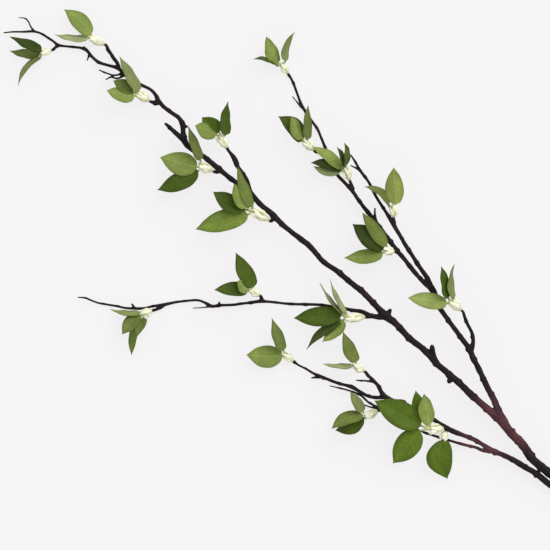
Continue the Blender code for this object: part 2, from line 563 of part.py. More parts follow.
def collar(name, whorl, finish):
    """A cream bud collar with small lobes between the leaf stalks."""
    root, mouth = place(*whorl.root), place(*whorl.mouth)
    ahead = (mouth - root).normalized()
    across = ahead.cross(Vector((0, 0, 1))).normalized()
    up = across.cross(ahead)
    centres = [root] + [root.lerp(mouth, share) for share, _ in COLLAR_PROFILE]
    widths = [COLLAR_NECK * MM] + [whorl.girth * spread * MM for _, spread in COLLAR_PROFILE]
    parts = [tube(centres, widths, COLLAR_SIDES)]
    out = whorl.girth / 2 - LOBE_WIDTH / 2
    foot = mouth - ahead * LOBE_LENGTH * LOBE_ROOTED * MM
    for angle in lobe_angles(whorl, ahead, across, up):
        way = across * cos(angle) + up * sin(angle)
        start = foot + way * (out - LOBE_SUNK) * MM
        line = ahead * LOBE_LENGTH + way * LOBE_LEAN
        middles = [start + line * share * MM for share, _ in LOBE_PROFILE]
        parts.append(tube(middles, [LOBE_WIDTH * spread * MM for _, spread in LOBE_PROFILE], LOBE_SIDES))
    return fused(name, parts, finish)


def build():
    """Clears the scene and makes the branch."""
    for old in list(bpy.data.objects):
        bpy.data.objects.remove(old)
    wood(material("bark", (0.032, 0.018, 0.016), 0.75))
    green = material("leaf_green", (0.09, 0.16, 0.03), 0.55)
    cream = material("collar_cream", (0.80, 0.80, 0.58), 0.6)
    for number, whorl in enumerate(WHORLS, 1):
        leaves(f"leaves_{number:02d}", whorl, green)
        collar(f"collar_{number:02d}", whorl, cream)


build()
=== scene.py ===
from math import atan2, cos, exp, log, pi, radians, sin
from typing import NamedTuple

import bmesh
import bpy
import numpy as np
from mathutils import Matrix, Vector, kdtree, noise


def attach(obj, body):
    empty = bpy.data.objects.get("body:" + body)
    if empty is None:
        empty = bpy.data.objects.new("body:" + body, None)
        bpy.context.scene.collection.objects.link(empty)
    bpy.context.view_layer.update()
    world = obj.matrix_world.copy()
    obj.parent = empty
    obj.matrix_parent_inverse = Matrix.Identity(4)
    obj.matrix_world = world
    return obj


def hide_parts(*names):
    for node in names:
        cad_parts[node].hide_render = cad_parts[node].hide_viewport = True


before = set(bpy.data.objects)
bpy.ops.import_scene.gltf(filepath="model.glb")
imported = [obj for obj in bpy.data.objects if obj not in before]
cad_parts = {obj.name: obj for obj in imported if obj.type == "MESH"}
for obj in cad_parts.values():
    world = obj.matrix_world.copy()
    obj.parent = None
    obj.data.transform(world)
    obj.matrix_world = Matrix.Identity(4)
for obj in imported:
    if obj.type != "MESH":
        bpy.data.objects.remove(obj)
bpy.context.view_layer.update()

# A cut leafy branch on a pale surface, seen from straight above.
# Places are in plan millimetres: x runs right and y down over the branch as the camera sees it, and z is the
# height over the surface. place() turns them into the frame, in metres.

MM = 0.001
PLAN_MIDDLE_X = 373.8
PLAN_MIDDLE_Y = 328.5
PLAN_TURN = radians(40.0)
VIEW_MIDDLE = 275.0
VIEW_SPAN = 550.0

SEAT_GAP = 0.3
SEAT_LENGTH = 2.4
COLLAR_NECK = 3.4
TWIG_RUN_ON = 1.2
TWIG_END = COLLAR_NECK * 0.9
HUB_LENGTH = 2.4
BLADE_FOLD = radians(14.0)
BLADE_ARCH = 0.05


class Leaf(NamedTuple):
    """One leaf: its blade's base and tip, its width, its roll in degrees, its tone, the side on top and how
    far its midrib bows to the left."""

    base: tuple
    tip: tuple
    width: float
    roll: float
    tone: str
    side: str = "upper"
    bend: float = 0


class Whorl(NamedTuple):
    """A twig, the bud collar from its end to the collar's mouth, and the leaves out of that mouth."""

    twig: tuple
    root: tuple
    mouth: tuple
    girth: float
    leaves: tuple


# Stems, as (x, y, z, thickness) points from the thick end to the thin one.
TRUNK = (
    (735, 637, 4.4, 10.6), (712, 618, 4.4, 10.4), (690, 598, 4.4, 10.2), (668, 579, 4.9, 10),
    (640, 554, 6.5, 10), (600, 518, 8.5, 9.8), (578, 498.4, 9.5, 10.2), (563, 484.6, 10.2, 9.4),
    (549, 472.7, 10.8, 9), (535.7, 462.2, 11.2, 9), (521.4, 443.2, 12, 9.6),
    (510.6, 432.4, 12.5, 9), (500.6, 420.2, 13, 10.2), (486.8, 408.3, 13.6, 7.6),
    (470.7, 394, 14.2, 7.2), (455, 379.2, 14.6, 7), (436.6, 363.4, 15.2, 6.8), (423.6, 349.4, 15.6, 6.6),
    (409.6, 338.4, 16, 6.6), (396.6, 324.4, 16.3, 7), (386.6, 316.4, 16.5, 8.4),
    (374.6, 304.4, 16.6, 6.4), (362.6, 291.9, 16.6, 6.2), (350.6, 282.4, 16.6, 5.8),
    (337.5, 271.5, 16.6, 5.8), (324.4, 262.6, 16.6, 5.6), (308.1, 244.9, 16.5, 5.8),
    (299.1, 237.9, 16.5, 5.6), (284.1, 226, 16.3, 5.6), (273, 215.1, 16, 6.4), (259, 203, 15.8, 5.6),
    (249.3, 192.2, 15.6, 6.6), (239.6, 184.9, 15.5, 5.4), (230, 178, 15.3, 5.2), (216, 166.5, 15, 5.8),
    (203, 156, 14.6, 5.2), (190.5, 148.5, 14.2, 5.2), (184, 140, 14, 6.8), (183, 131, 13.7, 5.2),
    (182.5, 124, 13.4, 5.8), (179, 118, 13, 4.6), (172, 113, 12.5, 4.2), (163, 106, 11.9, 4.6),
    (158, 100, 11.3, 4.8), (155, 94, 10.8, 4), (150, 89, 10.4, 3.4), (144, 86, 10, 3.4),
    (137, 82.5, 9.4, 3.4), (126, 76, 8.4, 3.2), (118, 68, 7.5, 3.9), (107, 64.5, 6.4, 3.1),
    (98, 61.5, 5.4, 3.3), (91, 55.5, 4.2, 3.1), (86, 49.5, 3, 3.5), (80, 47, 2, 2.7),
    (71, 46, 0.9, 2.5), (62.5, 45, 0.9, 2.5), (57, 44, 1.1, 3), (52, 40, 1.5, 2.5), (46, 36, 2, 2.3),
    (37.5, 31.5, 2.7, 2.3), (32, 30.5, 3.2, 2.6), (22, 31, 4.2, 2), (13, 31, 5.2, 1.7), (3, 32, 6.2, 1.3),
)
UPPER_BRANCH = (
    (507, 425, 12.6, 6.2), (497.8, 409.1, 13.5, 7.4), (493.7, 399.4, 14, 6.8), (487.1, 386.5, 14.8, 6.4),
    (480.1, 371.5, 15.5, 6.2), (473.6, 358.5, 16, 6.4), (470.2, 350.8, 16.2, 6.8),
    (462, 338.8, 16.3, 5.4), (454.2, 328.2, 16.5, 5.2), (446.8, 317.7, 16.5, 5.2),
    (440.2, 308.6, 16.5, 5.4), (432.7, 290.5, 16.5, 6), (423.2, 281.7, 16.3, 5),
    (414.2, 271.7, 16.2, 5), (405.8, 260.9, 16, 5), (395.8, 249, 15.6, 5.4),
    (386.2, 236.1, 15.2, 5), (376.7, 223.6, 14.8, 5), (367.2, 211.1, 14.2, 4.8),
    (360.4, 202.4, 13.6, 4.2), (352.3, 190.8, 12.8, 4.4), (344.2, 181.9, 12, 4), (337, 174, 11.3, 3.8),
    (326, 149, 9, 3.5), (321.5, 138, 7.6, 3.3), (318, 129.5, 6.2, 3.3), (312, 120.5, 4.2, 3),
    (307.5, 114, 2.6, 3), (304, 108.5, 1.1, 3.5), (300.5, 101.5, 1, 2.9), (297, 92, 1.1, 2.9),
    (293.6, 83, 1.5, 3.1), (290.5, 76.5, 2.7, 2.9),
)
INNER_BRANCH = (
    (434.2, 293.3, 16.5, 5.2), (428.6, 280.2, 17, 5), (421, 268.8, 17.5, 5), (413, 256.8, 18, 4.8),
    (405.2, 244.7, 18.5, 4.8), (399.2, 234.3, 18.8, 4.5), (393.8, 225.3, 19, 4.9),
    (386.4, 213, 18.8, 3.8), (380, 203, 18.4, 3.4), (374, 193, 18, 3.4), (369, 182.5, 17.2, 3.2),
    (362.5, 173.6, 16.4, 3.4), (358.5, 167.5, 15.8, 3.1), (355.4, 162, 15, 2.7), (351, 155, 14.2, 1.6),
)
OUTER_TWIG = (
    (470.8, 352, 16, 5), (473.2, 340, 16.8, 4.3), (471.7, 332, 17.4, 4.1), (468.2, 325.5, 18, 3.9),
    (464.4, 316.4, 18.6, 3.7),
)
LEFT_BRANCH = (
    (388, 317, 16.4, 6), (379.5, 317, 16, 5.4), (370, 315.6, 15.5, 5), (363, 312, 15, 4.8),
    (351, 310, 14.5, 4), (343, 308.2, 14, 3.9), (334, 307, 13.6, 3.6), (321.5, 305, 13, 3.6),
    (309, 304.4, 12.4, 3.3), (289.5, 304, 11.4, 3.3), (271, 302, 10.2, 3.1), (262, 301.4, 9.8, 4),
    (248, 303, 8.8, 3.2), (231.5, 305, 7.6, 3.2), (219, 305.5, 6.6, 3.3), (211.6, 306.3, 6, 3.8),
    (206, 303.5, 5.5, 3.2), (200, 300.7, 4.9, 2.9), (186, 301, 3.6, 2.8), (173.6, 302.6, 2.3, 2.9),
    (163, 305, 1.5, 4.2), (153, 306.3, 1, 2.9), (142, 308.4, 1, 2.7), (133.5, 308.6, 1.1, 3.1),
    (124, 308, 1.7, 2.5), (116.4, 306.3, 2.4, 2.5), (107, 304.7, 3.1, 2.5), (97.4, 303, 3.9, 2.3),
    (90.7, 300.5, 4.5, 2.1), (84, 297.8, 5.1, 1.9), (77.5, 297.4, 5.6, 1.3),
)
LOWER_BRANCH = (
    (582, 505, 9.2, 6.8), (563.6, 493, 9, 7.2), (549.6, 484.3, 9.4, 7), (536.5, 474, 9.8, 6.6),
    (523.3, 466.3, 10, 6.4), (509.9, 458.3, 10.4, 5.8), (498.3, 453.3, 10.8, 5.8),
    (490.3, 450, 11, 6.6), (483.5, 445.2, 11.2, 5.2), (471.7, 438.8, 11.6, 4.9),
    (455.5, 432.3, 12, 5.3), (445.5, 427.5, 12.4, 5.6), (436.7, 421.6, 12.4, 4.6),
    (423, 413.8, 12, 4.4), (409, 407.2, 11.6, 4.4), (403, 402.5, 11.4, 4.9), (394, 401, 11.2, 4.4),
    (384, 395.5, 11, 5.2), (377.5, 385, 11.8, 4), (372.5, 379.5, 12.3, 4), (367.3, 374.4, 12.9, 3.5),
)
LOWER_LEFT_TWIG = (
    (386, 396.8, 10.8, 4.2), (376.5, 397.8, 10.6, 4.1), (367, 395.8, 10.2, 3.8), (360, 391.8, 9.7, 4),
    (352, 387.2, 9.2, 4.3), (343.6, 385, 8.8, 3.7), (335.4, 382.5, 8.4, 3.6), (327, 379.2, 8, 3.5),
    (319.6, 376.5, 7.6, 4.1), (313.5, 373.5, 7.3, 3.2), (306, 369, 7, 2.8), (298, 365, 6.9, 2.7),
)
BARE_TWIG = (
    (491.3, 451, 10.6, 4.6), (483.6, 450.8, 10.2, 3.9), (477, 448.2, 9.6, 3.6), (464, 444.9, 8.6, 3.4),
    (449, 440.7, 7.4, 3.2), (434, 436, 6.4, 3), (425, 433, 6, 2.8), (417.5, 430, 5.8, 2.2),
)
CROSSING_TWIG = (
    (404, 404, 11, 3.2), (391, 407.5, 10, 2.9), (379, 407.3, 9.4, 2.7), (370, 403.5, 9, 2.7),
    (360.7, 395.5, 8, 2.7), (350.5, 391.2, 7.2, 2.4), (338, 388, 6.8, 2), (330, 386.2, 7, 1.3),
)
SPURS = (
    ((436.6, 363.4, 15.2, 4), (434, 355, 16.6, 5), (432, 347, 18, 5.2)),
    ((452.5, 377, 14.6, 5.6), (449.6, 381, 14.8, 5.2)),
    ((387, 316, 16.6, 6.2), (390, 310.5, 17.6, 4)),
    ((184.5, 140, 14.2, 5.8), (178.5, 135.7, 15, 5.3), (172, 129.5, 16, 4.6), (165.8, 124, 17.4, 3.4)),
    ((182, 125, 13.2, 4.2), (186.4, 126.5, 13.6, 3)),
    ((122, 73, 7.9, 2.6), (114, 74.8, 7.6, 2.3), (106, 72.6, 7.6, 2.1), (99, 69.6, 7.9, 1.6)),
    ((124, 75, 8.2, 2.6), (116, 78, 7.6, 2.3), (111, 76.4, 7.2, 2.1), (105.5, 79, 7.2, 1.6)),
    ((89, 53, 3.8, 2.6), (87.8, 56, 3.6, 2), (86.5, 59.5, 3.4, 1.3)),
    ((87, 50, 3.2, 2.8), (83.2, 46, 4.6, 1.9)),
    ((34, 30.8, 3, 2.2), (30, 26, 3.7, 2), (27.7, 20.8, 4.7, 1.8), (24, 17.4, 5.6, 1.6),
     (18, 17, 6.4, 1.1)),
    ((376.7, 223.6, 14.8, 3.6), (375, 216, 15.8, 3), (375, 208.5, 17, 1.9)),
    ((303.5, 108.5, 1.6, 2.4), (298, 102.5, 2.2, 2), (292.7, 96, 2.8, 1.2)),
    ((362, 172, 16.2, 2.8), (357, 168.7, 16.3, 2.4), (351, 165.5, 16.7, 1.6)),
    ((374.5, 382, 12, 3), (366, 381, 12.6, 2.4), (356.5, 380.5, 13.4, 1.6)),
    ((321, 377, 7.6, 3.2), (312, 378.2, 7.4, 2)),
    ((219, 306, 6.8, 3), (219, 302.4, 7.4, 1.8)),
    ((213, 306.3, 6, 2.6), (203, 307.6, 5.7, 1.7), (193, 308.2, 5.4, 1.1)),
    ((134.5, 309, 1.3, 2.8), (131.6, 304.5, 2.2, 2.4)),
    ((379, 409, 9.6, 2.4), (371, 407.5, 9.6, 2.2), (363.5, 404.8, 9.8, 1.5)),
)


# Whorls, from the trunk's tip to the cut end.
WHORLS = (
    Whorl(((58.5, 44.5, 1.3, 3), (54.5, 46.6, 2.2, 3)),
        (50.6, 49.2, 3.5), (43, 52, 7), 6.6, (
        Leaf((40.8, 49.3), (9.5, 36.5, 19), 17, 52, "deep", bend=2.5),
        Leaf((39.2, 52.6), (8.5, 50.3, 10), 15, -52, "soft"),
        Leaf((39.6, 56.8), (17.5, 85.7, 9), 11, 52, "sage", bend=-3),
    )),
    Whorl(((118.5, 69, 7.5, 4.2), (117, 62.5, 7.6, 4), (113.5, 58, 7.8, 4.4), (110.7, 53.5, 8, 4),
         (107.3, 48.5, 8.3, 4.2)),
        (103.6, 43.9, 8.7), (92.6, 38.5, 10.5), 8, (
        Leaf((90.8, 33.8), (64, 9.5, 18), 19, 22, "light", "under", bend=-3),
        Leaf((87.6, 37.2), (54, 34, 12), 14, 56, "pale", "under"),
    )),
    Whorl(((159, 103, 11.4, 4.2), (154, 102.2, 11, 4.2)),
        (149.1, 100.4, 11.1), (139.6, 94.8, 13.5), 9, (
        Leaf((138.6, 90.6), (119.5, 56, 24), 18, 52, "sage", bend=2.5),
        Leaf((134, 96), (107, 91, 30), 17, 25, "light", "under"),
        Leaf((132.5, 91.5), (113, 80.5, 18), 15, 20, "soft"),
    )),
    Whorl(((220, 169.5, 15.2, 4.4), (216.5, 172, 17, 4.2)),
        (212.4, 171, 18.8), (202, 166.5, 22), 9.2, (
        Leaf((200.6, 159.5), (188.5, 125.5, 36), 17, 55, "soft", bend=3),
        Leaf((196.8, 167.2), (160, 157.3, 21), 25, 12, "light", "under"),
        Leaf((198, 171.5), (157, 190, 15), 22, 25, "dark", bend=3),
    )),
    Whorl(((250, 192.4, 15.6, 4.8), (247, 180, 16, 4), (241.5, 171.5, 16.4, 4), (237.5, 166, 16.7, 4.8),
         (234.4, 158.6, 17, 6), (230.5, 153, 17.2, 4)),
        (226.8, 147.9, 17.6), (221, 139, 19.5), 8.4, (
        Leaf((226, 134.8), (228.5, 101.5, 30), 17, 50, "dark", bend=4),
        Leaf((216.3, 134.8), (195.5, 126, 38), 17, 15, "light", "under"),
        Leaf((219.2, 131.9), (202, 117.5, 27), 18, -10, "green"),
    )),
    Whorl(((274.7, 216.2, 16, 4.6), (272.5, 219.5, 16.8, 4.2)),
        (268.9, 219.9, 17.4), (254.6, 212, 20.5), 9.8, (
        Leaf((252.3, 206.4), (238, 167, 44), 16, 42, "moss", "under"),
        Leaf((246.5, 207.3), (234, 184, 42), 17, 30, "light", "under"),
        Leaf((244.5, 209.4), (213, 191.7, 26), 20, 15, "dark", bend=2.5),
        Leaf((247.6, 214.8), (195.3, 229.5, 15), 23, 12, "fresh"),
    )),
    Whorl(((464.6, 317.4, 18.5, 3.7),),
        (460.8, 310, 19.2), (452, 302.5, 22), 9, (
        Leaf((446.6, 303.3), (407, 297.6, 36), 17.5, 16, "bright", "under", bend=-1),
        Leaf((447.6, 297.4), (440.3, 265.6, 38), 17, 50, "dark", bend=2),
        Leaf((453.9, 297.6), (454, 263.5, 34), 15, 62, "olive", "under", bend=1.5),
    )),
    Whorl(((394, 225.5, 19, 4), (393.9, 220.5, 19.2, 3.9)),
        (393.8, 217.1, 19.6), (393.6, 208.4, 21.5), 8.4, (
        Leaf((396.2, 204.2), (393.5, 167.6, 30), 20, 15, "yellow", "under"),
        Leaf((389, 205.8), (363.6, 187.2, 36), 16, 55, "soft", bend=-3.5),
    )),
    Whorl(((326.5, 150, 9.2, 3.2), (319, 152, 9.2, 3.2)),
        (313.8, 149.8, 9.6), (306.4, 143, 12), 8.4, (
        Leaf((301.8, 140.6), (278, 116.5, 20), 18, 12, "dark", bend=-4),
        Leaf((302.4, 138.2), (291, 117, 31), 16, 30, "light", "under"),
        Leaf((308, 138.8), (308, 105, 27), 13, 45, "soft", bend=2.5),
    )),
    Whorl(((353, 191.2, 12.8, 3.7), (351.8, 185.5, 12.6, 3.7)),
        (349.5, 179.8, 13.4), (346, 170.8, 16), 8.4, (
        Leaf((342, 166.8), (311.7, 147, 25), 17, 42, "light", "under", bend=-3.5),
        Leaf((340.6, 169.8), (310.5, 163, 23), 12, 20, "deep", bend=-2),
        Leaf((340.2, 171.6), (313, 165.8, 17), 9, 15, "pale", "under", bend=2.5),
        Leaf((346, 165.4), (344, 143, 38), 14, 60, "dark"),
        Leaf((343.6, 165.4), (336.5, 147.3, 33), 12, 58, "dark"),
    )),
    Whorl(((291, 77.4, 2.6, 3),),
        (287.8, 72.7, 4.3), (283, 65.6, 7), 7.6, (
        Leaf((277.8, 62.6), (266.3, 36.3, 21), 17, 35, "light", "under"),
        Leaf((277, 65), (253, 59.4, 23), 12, 62, "dark", bend=-1.5),
        Leaf((286, 60), (295.5, 31.5, 18), 15, 62, "olive", "under", bend=2),
    )),
    Whorl(((397.6, 250.6, 15.8, 3.8),),
        (394.2, 251.4, 18.4), (387.2, 250.9, 21), 8.2, (
        Leaf((386.4, 245.6), (361.8, 212.8, 34), 15.5, 24, "moss", "under", bend=-1),
        Leaf((382.6, 249.6), (352.3, 224, 25), 21, 12, "deep"),
        Leaf((382.4, 253.3), (343.8, 257.8, 16), 17, 25, "light", "under"),
    )),
    Whorl(((163.5, 305.5, 1.7, 3.4), (156.5, 309.3, 2.8, 3.4)),
        (151.4, 311, 4.2), (144, 313.4, 6.8), 8, (
        Leaf((139.5, 317), (131, 356, 6), 18, 52, "fresh"),
        Leaf((138, 315), (121.8, 334.5, 14), 16, 20, "soft"),
        Leaf((143.3, 318.3), (137, 336.8, 21), 13, 32, "soft"),
        Leaf((138.5, 312.2), (109, 309.3, 13), 13, 64, "olive", "under"),
    )),
    Whorl(((262, 302, 9.8, 3.7), (261.6, 298.9, 10.2, 3.7)),
        (259.1, 295.6, 11.1), (252.6, 291, 13.5), 8.4, (
        Leaf((253.6, 286.6), (235.8, 252.5, 24), 19, 25, "dark", bend=2.5),
        Leaf((247.2, 290.2), (214, 290, 20), 17, 30, "dark"),
        Leaf((248.4, 290.6), (237.5, 281, 32), 13, 25, "light", "under"),
    )),
    Whorl(((371.5, 315.4, 15.3, 4.4),),
        (364.6, 317.2, 17.8), (348, 318, 21.2), 9, (
        Leaf((341, 314.6), (293.5, 318, 19), 21, 10, "dark", bend=1),
        Leaf((340.6, 321.5), (306.3, 350.3, 11), 17, 57, "dark", bend=-1.5),
        Leaf((343, 320.3), (322, 342, 26), 17, 38, "light", "under"),
        Leaf((343.4, 312.2), (319.2, 281.8, 36), 13, 70, "pale", "under"),
        Leaf((346, 311.6), (329.8, 279, 40), 13, 66, "pale", "under"),
    )),
    Whorl(((448.6, 428.4, 12.2, 4.2),),
        (443.2, 428.3, 17.4), (432.5, 429, 21), 9, (
        Leaf((420.4, 425.4), (374, 400.3, 28), 28, 8, "green"),
        Leaf((419.3, 431), (393, 463.5, 16), 26, 6, "mid"),
        Leaf((421.8, 419.4), (415.6, 390.3, 22), 16, 22, "green", bend=1.5),
        Leaf((429.4, 424), (423.4, 393, 34), 18, 24, "light", "under"),
    )),
    Whorl(((446.6, 426.6, 12.4, 3.8),),
        (446, 431, 12.5), (444.2, 436.4, 13), 7, (
        Leaf((442.9, 440), (448, 479.4, 8), 27, 5, "green", bend=-5.5),
    )),
    Whorl(((367.3, 374.4, 12.9, 3.6),),
        (364, 371.3, 13.5), (356.5, 366.5, 15.5), 8, (
        Leaf((356, 362), (343.2, 331.5, 22), 17, 35, "soft", bend=3),
        Leaf((351.8, 365), (321.8, 363.4, 22), 13, 66, "pale", "under"),
    )),
    Whorl(((386, 407.4, 9.8, 3.2), (381.8, 409.8, 10, 3.2)),
        (377.7, 411.5, 11), (367.8, 415.5, 14), 8.4, (
        Leaf((362, 414.6), (331.3, 429, 23), 16, 30, "moss", "under", bend=-4.5),
        Leaf((363, 411.6), (350, 391, 20), 14, 40, "sage", bend=1.5),
        Leaf((363.9, 418.5), (335, 430.5, 9), 17, 22, "dark", bend=4),
    )),
    Whorl(((298.5, 365.2, 6.9, 3.2),),
        (293, 361.3, 6.9), (286.4, 355.8, 9), 8.4, (
        Leaf((282.4, 356), (246.3, 354.8, 15), 23.5, 8, "light", "under", bend=1),
        Leaf((283.2, 350.4), (271.8, 317.8, 22), 17, 45, "soft", bend=2.5),
    )),
)


def place(x, y, z):
    """Plan millimetres as a point of the frame, in metres."""
    right = x - PLAN_MIDDLE_X
    back = PLAN_MIDDLE_Y - y
    turned_x = right * cos(PLAN_TURN) - back * sin(PLAN_TURN)
    turned_y = right * sin(PLAN_TURN) + back * cos(PLAN_TURN)
    return Vector((turned_x, turned_y, z)) * MM


# Shared mesh helpers.

VALUE_NAMES = {"FLOAT": "value", "FLOAT_VECTOR": "vector", "FLOAT_COLOR": "color"}


def give(mesh, label, kind, values):
    """Stores one value per point in a mesh attribute."""
    layer = mesh.attributes.new(label, kind, "POINT")
    layer.data.foreach_set(VALUE_NAMES[kind], np.asarray(values, dtype=np.float32).ravel())


def put(name, data):
    """An object with this data, in the scene."""
    made = bpy.data.objects.new(name, data)
    bpy.context.scene.collection.objects.link(made)
    return made


def new_object(name, points, faces, attributes=()):
    """A smooth mesh object; attributes are (name, kind, one value per point)."""
    mesh = bpy.data.meshes.new(name)
    mesh.from_pydata([tuple(point) for point in points], [], faces)
    for label, kind, values in attributes:
        give(mesh, label, kind, values)
    mesh.shade_smooth()
    return put(name, mesh)


def ring_faces(rings, sides):
    """Quads between successive rings of points, and a face over each end."""
    faces = [tuple(range(sides)), tuple(reversed(range((rings - 1) * sides, rings * sides)))]
    for ring in range(rings - 1):
        for side in range(sides):
            here = ring * sides + side
            beside = ring * sides + (side + 1) % sides
            faces.append((here + sides, beside + sides, beside, here))
    return faces


def curve_through(points, step):
    """Rows about step apart on a smooth curve through the points; their first three numbers are the place."""
    points = np.array(points, dtype=float)
    spans = np.linalg.norm(np.diff(points[:, :3], axis=0), axis=1)
    slopes = np.gradient(points, np.concatenate([[0.0], np.cumsum(spans)]), axis=0)
    rows = [points[:1]]
    for index, span in enumerate(spans):
        count = max(1, int(round(span / step)))
        t = (np.arange(1, count + 1) / count)[:, None]
        rows.append(
            points[index] * (1 + 2 * t) * (1 - t) ** 2
            + points[index + 1] * t ** 2 * (3 - 2 * t)
            + slopes[index] * span * t * (1 - t) ** 2
            - slopes[index + 1] * span * t ** 2 * (1 - t)
        )
    return np.vstack(rows)


def turning_frames(places):
    """At each place of a path, in metres: the way along, and two directions square to it that turn least."""
    ways = np.gradient(places, axis=0)
    ways /= np.linalg.norm(ways, axis=1)[:, None]
    across = np.cross(ways[0], (0.0, 0.0, 1.0))
    acrosses, ups = [], []
    for way in ways:
        across = across - way * across.dot(way)
        across = across / np.linalg.norm(across)
        acrosses.append(across)
        ups.append(np.cross(across, way))
    return ways, np.array(acrosses), np.array(ups)


# Bark: one swept, ridged tube for each stem, joined into one body.

BARK_STEP = 1.1
BARK_SKIN = 0.1
THINNEST_TWIG = 0.9
TRUNK_SIDES = 24
BRANCH_SIDES = 16
TWIG_SIDES = 12
TIP_CAP = ((0.35, 0.9), (0.7, 0.66), (0.95, 0.25))
STEM_SEED = 3.7
RIDGE_SIZE = 0.11
BUMP_SIZE = 0.15
WRINKLE_SIZE = 0.06
KNOB_SPACING = 17.0
KNOB_SHIFT = 0.45
KNOB_REACH = 1.7
KNOB_SIZE = 0.4
FLARE_SIZE = 0.35
FLARE_REACH = 2.2
FOOT_NARROWED = 0.5
FOOT_REACH = 1.0


def bark_radius(angle, run, radius, seed):
    """The bark's distance from its stem's middle: bumps, ridges along the stem, wrinkles round it, knobs."""
    out_x, out_y = cos(angle), sin(angle)
    bump = noise.noise((out_x * 0.9, out_y * 0.9, run / 7.0 + seed))
    ridge = noise.noise((out_x * 2.6, out_y * 2.6, run / 16.0 - seed))
    wrinkle = noise.noise((out_x * 1.4 + 9.0, out_y * 1.4, run / 1.6 + seed))
    knob = knob_height(angle, run, seed)
    return radius * (1 + BUMP_SIZE * bump + RIDGE_SIZE * ridge + WRINKLE_SIZE * wrinkle + KNOB_SIZE * knob)


def knob_height(angle, run, seed):
    """The rise of the nearest old leaf knob, 0 to 1: knobs are one-sided and unevenly spaced."""
    number = round(run / KNOB_SPACING)
    shift = noise.noise((number * 1.7, seed, 0.5)) * KNOB_SPACING * KNOB_SHIFT
    away = run - number * KNOB_SPACING - shift
    turn = noise.noise((seed, number * 2.3, 4.5)) * 2 * pi
    facing = 0.3 + 0.7 * max(0.0, cos(angle - turn)) ** 2
    return exp(-(away / KNOB_REACH) ** 2) * facing


def bark_tube(route, sides, seed, rooted):
    """A stem's points and faces in the frame, and its middles with run, radius and a pair of directions."""
    rows = curve_through(route, BARK_STEP)
    places = np.array([place(*row[:3]) for row in rows])
    radii = np.maximum(rows[:, 3] + BARK_SKIN, THINNEST_TWIG) * MM / 2
    runs = np.concatenate([[0.0], np.cumsum(np.linalg.norm(np.diff(places, axis=0), axis=1))]) / MM
    if rooted:
        radii = radii * (1 + FLARE_SIZE * np.exp(-runs / (FLARE_REACH * radii[0] / MM)))
        radii = radii * (1 - FOOT_NARROWED * np.exp(-runs / FOOT_REACH))
    ways, acrosses, ups = turning_frames(places)
    end, radius = places[-1], radii[-1]
    places = np.vstack([places, [end + ways[-1] * radius * ahead for ahead, _ in TIP_CAP]])
    radii = np.concatenate([radii, [radius * share for _, share in TIP_CAP]])
    runs = np.concatenate([runs, [runs[-1] + radius * ahead / MM for ahead, _ in TIP_CAP]])
    acrosses = np.vstack([acrosses] + [acrosses[-1:]] * len(TIP_CAP))
    ups = np.vstack([ups] + [ups[-1:]] * len(TIP_CAP))
    points = []
    for middle, radius, run, across, up in zip(places, radii, runs, acrosses, ups):
        for side in range(sides):
            angle = 2 * pi * (side + 0.5) / sides
            reach = bark_radius(angle, run, radius, seed)
            points.append(middle + (across * cos(angle) + up * sin(angle)) * reach)
    return points, ring_faces(len(places), sides), (places, runs, radii, acrosses, ups)


def whorl_axis(whorl):
    """A collar's root and mouth in the frame, and the direction out of it."""
    root, mouth = place(*whorl.root), place(*whorl.mouth)
    return root, mouth, (mouth - root).normalized()


def square_to(ahead):
    """Two directions square to a whorl's axis: one level and one rising."""
    across = ahead.cross(Vector((0, 0, 1))).normalized()
    return across, across.cross(ahead)


def twig_route(whorl):
    """A whorl's twig, run on a little way into its collar."""
    length = (Vector(whorl.mouth) - Vector(whorl.root)).length
    ahead = (Vector(whorl.mouth) - Vector(whorl.root)) / length
    root = Vector(whorl.root)
    neck = (*(root - ahead * (SEAT_GAP + SEAT_LENGTH)), COLLAR_NECK)
    end = (*(root + ahead * TWIG_RUN_ON), TWIG_END)
    return (*whorl.twig, neck, end)


def joined(name, parts):
    """One object: the union of closed parts, which are removed."""
    body = parts[0]
    body.name = name
    others = bpy.data.collections.new(name + "_parts")
    for part in parts[1:]:
        others.objects.link(part)
    join = body.modifiers.new("join", "BOOLEAN")
    join.operation = "UNION"
    join.operand_type = "COLLECTION"
    join.collection = others
    join.solver = "MANIFOLD"
    solid = bpy.data.meshes.new_from_object(body.evaluated_get(bpy.context.evaluated_depsgraph_get()))
    body.modifiers.clear()
    body.data = solid
    solid.name = name
    for part in parts[1:]:
        bpy.data.objects.remove(part)
    bpy.data.collections.remove(others)
    solid.shade_smooth()
    return body


FORK_CREASE = radians(30.0)
FORK_ROUNDS = 3
FORK_PASSES = 10
FORK_GIVE = 0.3
FORK_SHARE = 0.5


